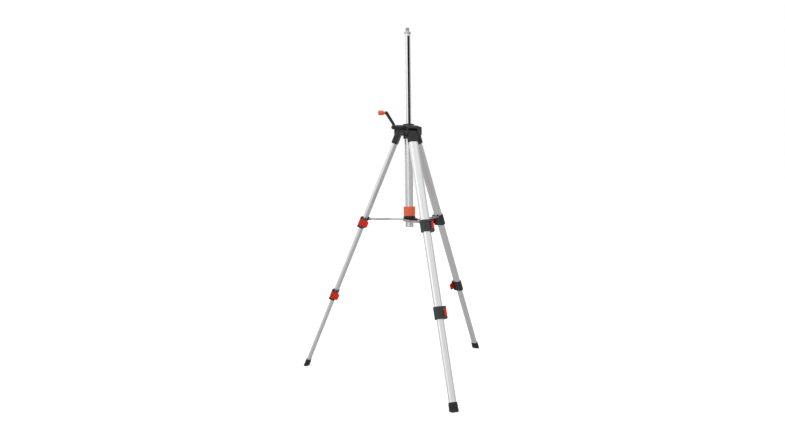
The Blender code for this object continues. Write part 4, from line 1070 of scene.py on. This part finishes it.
def make_lever(node, outer_tube, at):
    hinge = clamp_hinge(outer_tube)
    half_length = CLAMP_HEIGHT / 2 - EAR_HEIGHT - END_GAP
    inner_x = LEVER_BOSS - LEVER_THICK
    tab = outer_tube[1] + CLAMP_SHELL + LEVER_TAB - hinge[1]
    outline = [
        *arc_points((0, 0), LEVER_BOSS, -200, 0, 28),
        (LEVER_BOSS, tab * 0.25),
        (LEVER_BOSS, tab * 0.45),
        (LEVER_BOSS - 0.25 * MM, tab * 0.60),
        (LEVER_BOSS - 0.6 * MM, tab * 0.72),
        (LEVER_BOSS - 0.3 * MM, tab * 0.82),
        (LEVER_BOSS + 0.5 * MM, tab - 3.0 * MM),
        (LEVER_BOSS + 0.9 * MM, tab - 1.4 * MM),
        (LEVER_BOSS + 0.5 * MM, tab - 0.4 * MM),
        (LEVER_BOSS - 0.2 * MM, tab),
        (LEVER_BOSS - 1.2 * MM, tab - 0.1 * MM),
        (LEVER_BOSS - 2.0 * MM, tab - 0.6 * MM),
        (inner_x - 0.4 * MM, tab * 0.72),
        (inner_x + 0.6 * MM, tab * 0.45),
        (inner_x + 0.6 * MM, 5.0 * MM),
    ]
    corners = []
    round_end = 8 * MM
    for side in (1, -1):
        centre = (tab - round_end, side * (half_length - round_end))
        start = 0 if side > 0 else -90
        corner = arc_points(centre, round_end, start, start + 90, 12)
        corner.append((tab + 2 * MM, side * (half_length + 2 * MM)))
        corners.append((CUT, side_prism(corner, -10 * MM, 10 * MM), HERE))
    body = shaped(prism(outline, -half_length, half_length), corners, 0.9 * MM, 3)
    reach = half_length + EAR_HEIGHT - 2.6 * MM
    steps = [(JOIN, rod(2.0 * MM, -reach, reach, 24), HERE)]
    for i in range(4):
        y = tab * 0.70 + i * 2.3 * MM
        span = half_length - 3 * MM - max(0.0, y + 2 * MM - (tab - round_end)) * 0.9
        groove = box((LEVER_BOSS - 0.95 * MM, y, -span), (0.02, y + 0.8 * MM, span))
        steps.append((CUT, groove, HERE))
    # A shallow panel in the outer face.
    low = (LEVER_BOSS - 0.5 * MM, tab * 0.10, -half_length + 4 * MM)
    steps.append((CUT, box(low, (0.02, tab * 0.60, half_length - 4 * MM)), HERE))
    stand_for(node, shaped(body, steps, 0.25 * MM), at @ Matrix.Translation((*hinge, 0)), LEVER_RED_SHADED)


def strut_lug_steps(leg):
    """Makes the strut's pin and gives the steps for the two plates that hold it on the clamp."""
    root = UPPER_HALF[1] + CLAMP_SHELL - 1.2 * MM
    pin_z = UPPER_CLAMP_AT - STRUT_PIN[1]
    outline = [
        (root, pin_z - 7.5 * MM),
        *arc_points((STRUT_PIN[0], pin_z), 4.8 * MM, -80, 80, 18),
        (root, pin_z + 7.0 * MM),
    ]
    gap = STRUT_THICK / 2 + 0.4 * MM
    plate = 2.4 * MM
    steps = []
    for low in (STRUT_OFFSETS[0] - gap - plate, STRUT_OFFSETS[0] + gap):
        steps.append((JOIN, side_prism(outline, low, low + plate), HERE))
    place = Matrix.Translation((STRUT_OFFSETS[0], STRUT_PIN[0], pin_z)) @ X_AXIS_TURN
    steps.append((CUT, rod(2.3 * MM, -0.005, 0.005, 24), place))
    at = leg_frame(leg) @ Matrix.Translation((STRUT_OFFSETS[0], STRUT_PIN[0], -STRUT_PIN[1]))
    outer = gap + plate + 0.3 * MM
    pin = rivet_pin(outer, outer + 1.3 * MM, 2.0 * MM, 3.4 * MM, 1.1 * MM)
    stand_for(f"strut_pin_{leg}", pin, at @ X_AXIS_TURN)
    return steps


def make_foot(leg, at):
    """A ribbed rubber cup cut level with the ground."""

    tilt_sin, tilt_cos = math.sin(LEG_TILT), math.cos(LEG_TILT)

    def ground(points, lift=0.0):
        return [(x, y, (lift - PIVOT_HEIGHT + y * tilt_sin) / tilt_cos) for x, y in points]

    centre = -PIVOT_HEIGHT / tilt_cos
    top = centre + FOOT_HEIGHT
    pocket = (LOWER_HALF[0] + FIT_GAP, LOWER_HALF[1] + FIT_GAP)
    mouth = (LOWER_HALF[0] + 2.5 * MM, LOWER_HALF[1] + 1.7 * MM)

    def ring(half, inset):
        return oval(half[0] - inset, half[1] - inset, 20)

    loops = [ground(ring(FOOT_HALF, 1.3 * MM)), ground(ring(FOOT_HALF, 0.5 * MM), 0.5 * MM)]
    loops.append(ground(ring(FOOT_HALF, 0), 1.6 * MM))
    groove = ((0, 0), (0.5, 0.5), (0.5, 1.1), (0, 1.6))
    for i in range(4):
        z = centre + 9.5 * MM + i * 2.2 * MM
        loops += [level(ring(FOOT_HALF, inset * MM), z + rise * MM) for inset, rise in groove]
    loops += [
        level(ring(mouth, 0), top - 2.4 * MM),
        level(ring(mouth, 0.2 * MM), top - 0.8 * MM),
        level(ring(mouth, 0.8 * MM), top),
        level(ring(pocket, 0), top),
        level(ring(pocket, 0), -LOWER_END - END_GAP),
    ]
    foot = loft("foot", loops)
    foot.transform(at)
    stand_for(f"rubber_foot_{leg}", foot, HERE)


def make_legs():
    for leg in LEGS:
        at = leg_frame(leg)
        make_plug(leg, at)
        make_tube(f"upper_tube_{leg}", UPPER_HALF, -UPPER_END, -PLUG_END - END_GAP, at)
        make_tube(f"middle_tube_{leg}", MIDDLE_HALF, -MIDDLE_END, -MIDDLE_START, at)
        make_tube(f"lower_tube_{leg}", LOWER_HALF, -LOWER_END, -LOWER_START, at)
        upper_at = at @ Matrix.Translation((0, 0, -UPPER_CLAMP_AT))
        lower_at = at @ Matrix.Translation((0, 0, -LOWER_CLAMP_AT))
        upper_end = UPPER_CLAMP_AT - UPPER_END
        middle_end = LOWER_CLAMP_AT - MIDDLE_END
        lugs = strut_lug_steps(leg)
        make_clamp(f"upper_clamp_{leg}", UPPER_HALF, MIDDLE_HALF, upper_end, upper_at, lugs)
        make_clamp(f"lower_clamp_{leg}", MIDDLE_HALF, LOWER_HALF, middle_end, lower_at)
        make_lever(f"upper_lever_{leg}", UPPER_HALF, upper_at)
        make_lever(f"lower_lever_{leg}", MIDDLE_HALF, lower_at)
        make_foot(leg, at)


def finish_solids():
    """The solids that stay as they are take a material too."""
    for name, node in frame["nodes"].items():
        if not node.hide_render:
            for slot in node.material_slots:
                slot.material = MATERIALS[SLOT_OF[name]]


# Studio -------------------------------------------------------------------------------------------


def make_floor():
    shape = bmesh.new()
    bmesh.ops.create_grid(shape, x_segments=2, y_segments=2, size=30)
    mesh = finish_mesh("floor", shape)
    floor = add_object("floor", mesh)
    graph = Graph("pale_floor", 0.85)
    clouds = graph.noise(3.0, detail=2.0)
    seen = graph.blend(clouds, (0.90, 0.90, 0.90), (0.92, 0.92, 0.92))
    direct = graph.add("ShaderNodeLightPath").outputs["Is Camera Ray"]
    graph.link(graph.math("MULTIPLY", direct, 0.30), graph.shader.inputs["Emission Strength"])
    graph.shader.inputs["Emission Color"].default_value = (1, 1, 1, 1)
    mesh.materials.append(graph.finish(graph.blend(direct, (0.46, 0.46, 0.46), seen)))


def make_world():
    """Soft white surroundings that fall off to grey on the tripod's right."""
    world = bpy.data.worlds.new("studio")
    bpy.context.scene.world = world
    world.use_nodes = True
    tree = world.node_tree
    tree.nodes.clear()

    def add(kind, **settings):
        node = tree.nodes.new(kind)
        for key, value in settings.items():
            setattr(node, key, value)
        return node

    place = add("ShaderNodeTexCoord")
    dot = add("ShaderNodeVectorMath", operation="DOT_PRODUCT")
    azimuth, rise = math.radians(-12), math.radians(-20)
    dark = (math.cos(azimuth) * math.cos(rise), math.sin(azimuth) * math.cos(rise), math.sin(rise))
    dot.inputs[1].default_value = dark
    tree.links.new(place.outputs["Generated"], dot.inputs[0])
    fall = add("ShaderNodeMapRange", interpolation_type="SMOOTHSTEP")
    limits = {"From Min": 0.30, "From Max": 0.90, "To Min": 0.84, "To Max": 0.50}
    for key, number in limits.items():
        fall.inputs[key].default_value = number
    tree.links.new(dot.outputs["Value"], fall.inputs["Value"])
    around = add("ShaderNodeBackground")
    tree.links.new(fall.outputs["Result"], around.inputs["Strength"])
    backdrop = add("ShaderNodeBackground")
    backdrop.inputs["Strength"].default_value = 1.0
    for node in (around, backdrop):
        node.inputs["Color"].default_value = (1, 1, 1, 1)
    path = add("ShaderNodeLightPath")
    mixed = add("ShaderNodeMixShader")
    tree.links.new(path.outputs["Is Camera Ray"], mixed.inputs[0])
    tree.links.new(around.outputs[0], mixed.inputs[1])
    tree.links.new(backdrop.outputs[0], mixed.inputs[2])
    output = add("ShaderNodeOutputWorld")
    tree.links.new(mixed.outputs[0], output.inputs["Surface"])


def softbox(name, place, target, size, power):
    light = bpy.data.lights.new(name, "AREA")
    light.shape = "RECTANGLE"
    light.size, light.size_y = size
    light.energy = power
    obj = add_object(name, light)
    obj.location = place
    obj.rotation_mode = "QUATERNION"
    obj.rotation_quaternion = (Vector(target) - Vector(place)).to_track_quat("-Z", "Y")


def make_sun():
    """An even overhead fill, wide enough to leave only faint shadows."""
    light = bpy.data.lights.new("overhead", "SUN")
    light.energy = 0.5
    light.angle = math.radians(100)
    obj = add_object("overhead", light)
    obj.rotation_euler = (math.radians(8), math.radians(-14), 0)


def make_camera():
    """The viewpoint: 0.83 m high and 2.5 m off, on the crank's side of the front leg."""
    data = bpy.data.cameras.new("camera")
    data.lens = 28.63
    data.sensor_width = 36.0
    data.shift_x, data.shift_y = 0.0003, -0.0005
    data.clip_end = 100.0
    camera = add_object("camera", data)
    heading = math.radians(73.02)
    pitch = math.radians(-4.44)
    roll = -0.0131
    flat = math.cos(pitch)
    look = Vector((math.cos(heading) * flat, math.sin(heading) * flat, math.sin(pitch)))
    turn = look.to_track_quat("-Z", "Y").to_matrix().to_4x4()
    eye = Matrix.Translation((-0.809, AXIS_Y - 2.409, 0.829))
    camera.matrix_world = eye @ turn @ Matrix.Rotation(roll, 4, "Z")
    bpy.context.scene.camera = camera


make_camera()
make_floor()
make_world()
softbox("key", (-2.6, -1.6, 2.6), (0, 0.1, 0.7), (2.0, 2.0), 6)
softbox("strip", (-2.0, -1.95, 1.0), (0, 0.1, 0.7), (1.3, 2.2), 4.5)
softbox("rim", (-1.6, 2.4, 1.8), (0, 0.1, 0.7), (1.2, 2.0), 10)
make_sun()
bpy.context.scene.view_settings.view_transform = "Standard"

make_head()
make_centre_tube()
make_column()
make_crank()
make_collar()
make_struts()
make_legs()
finish_solids()
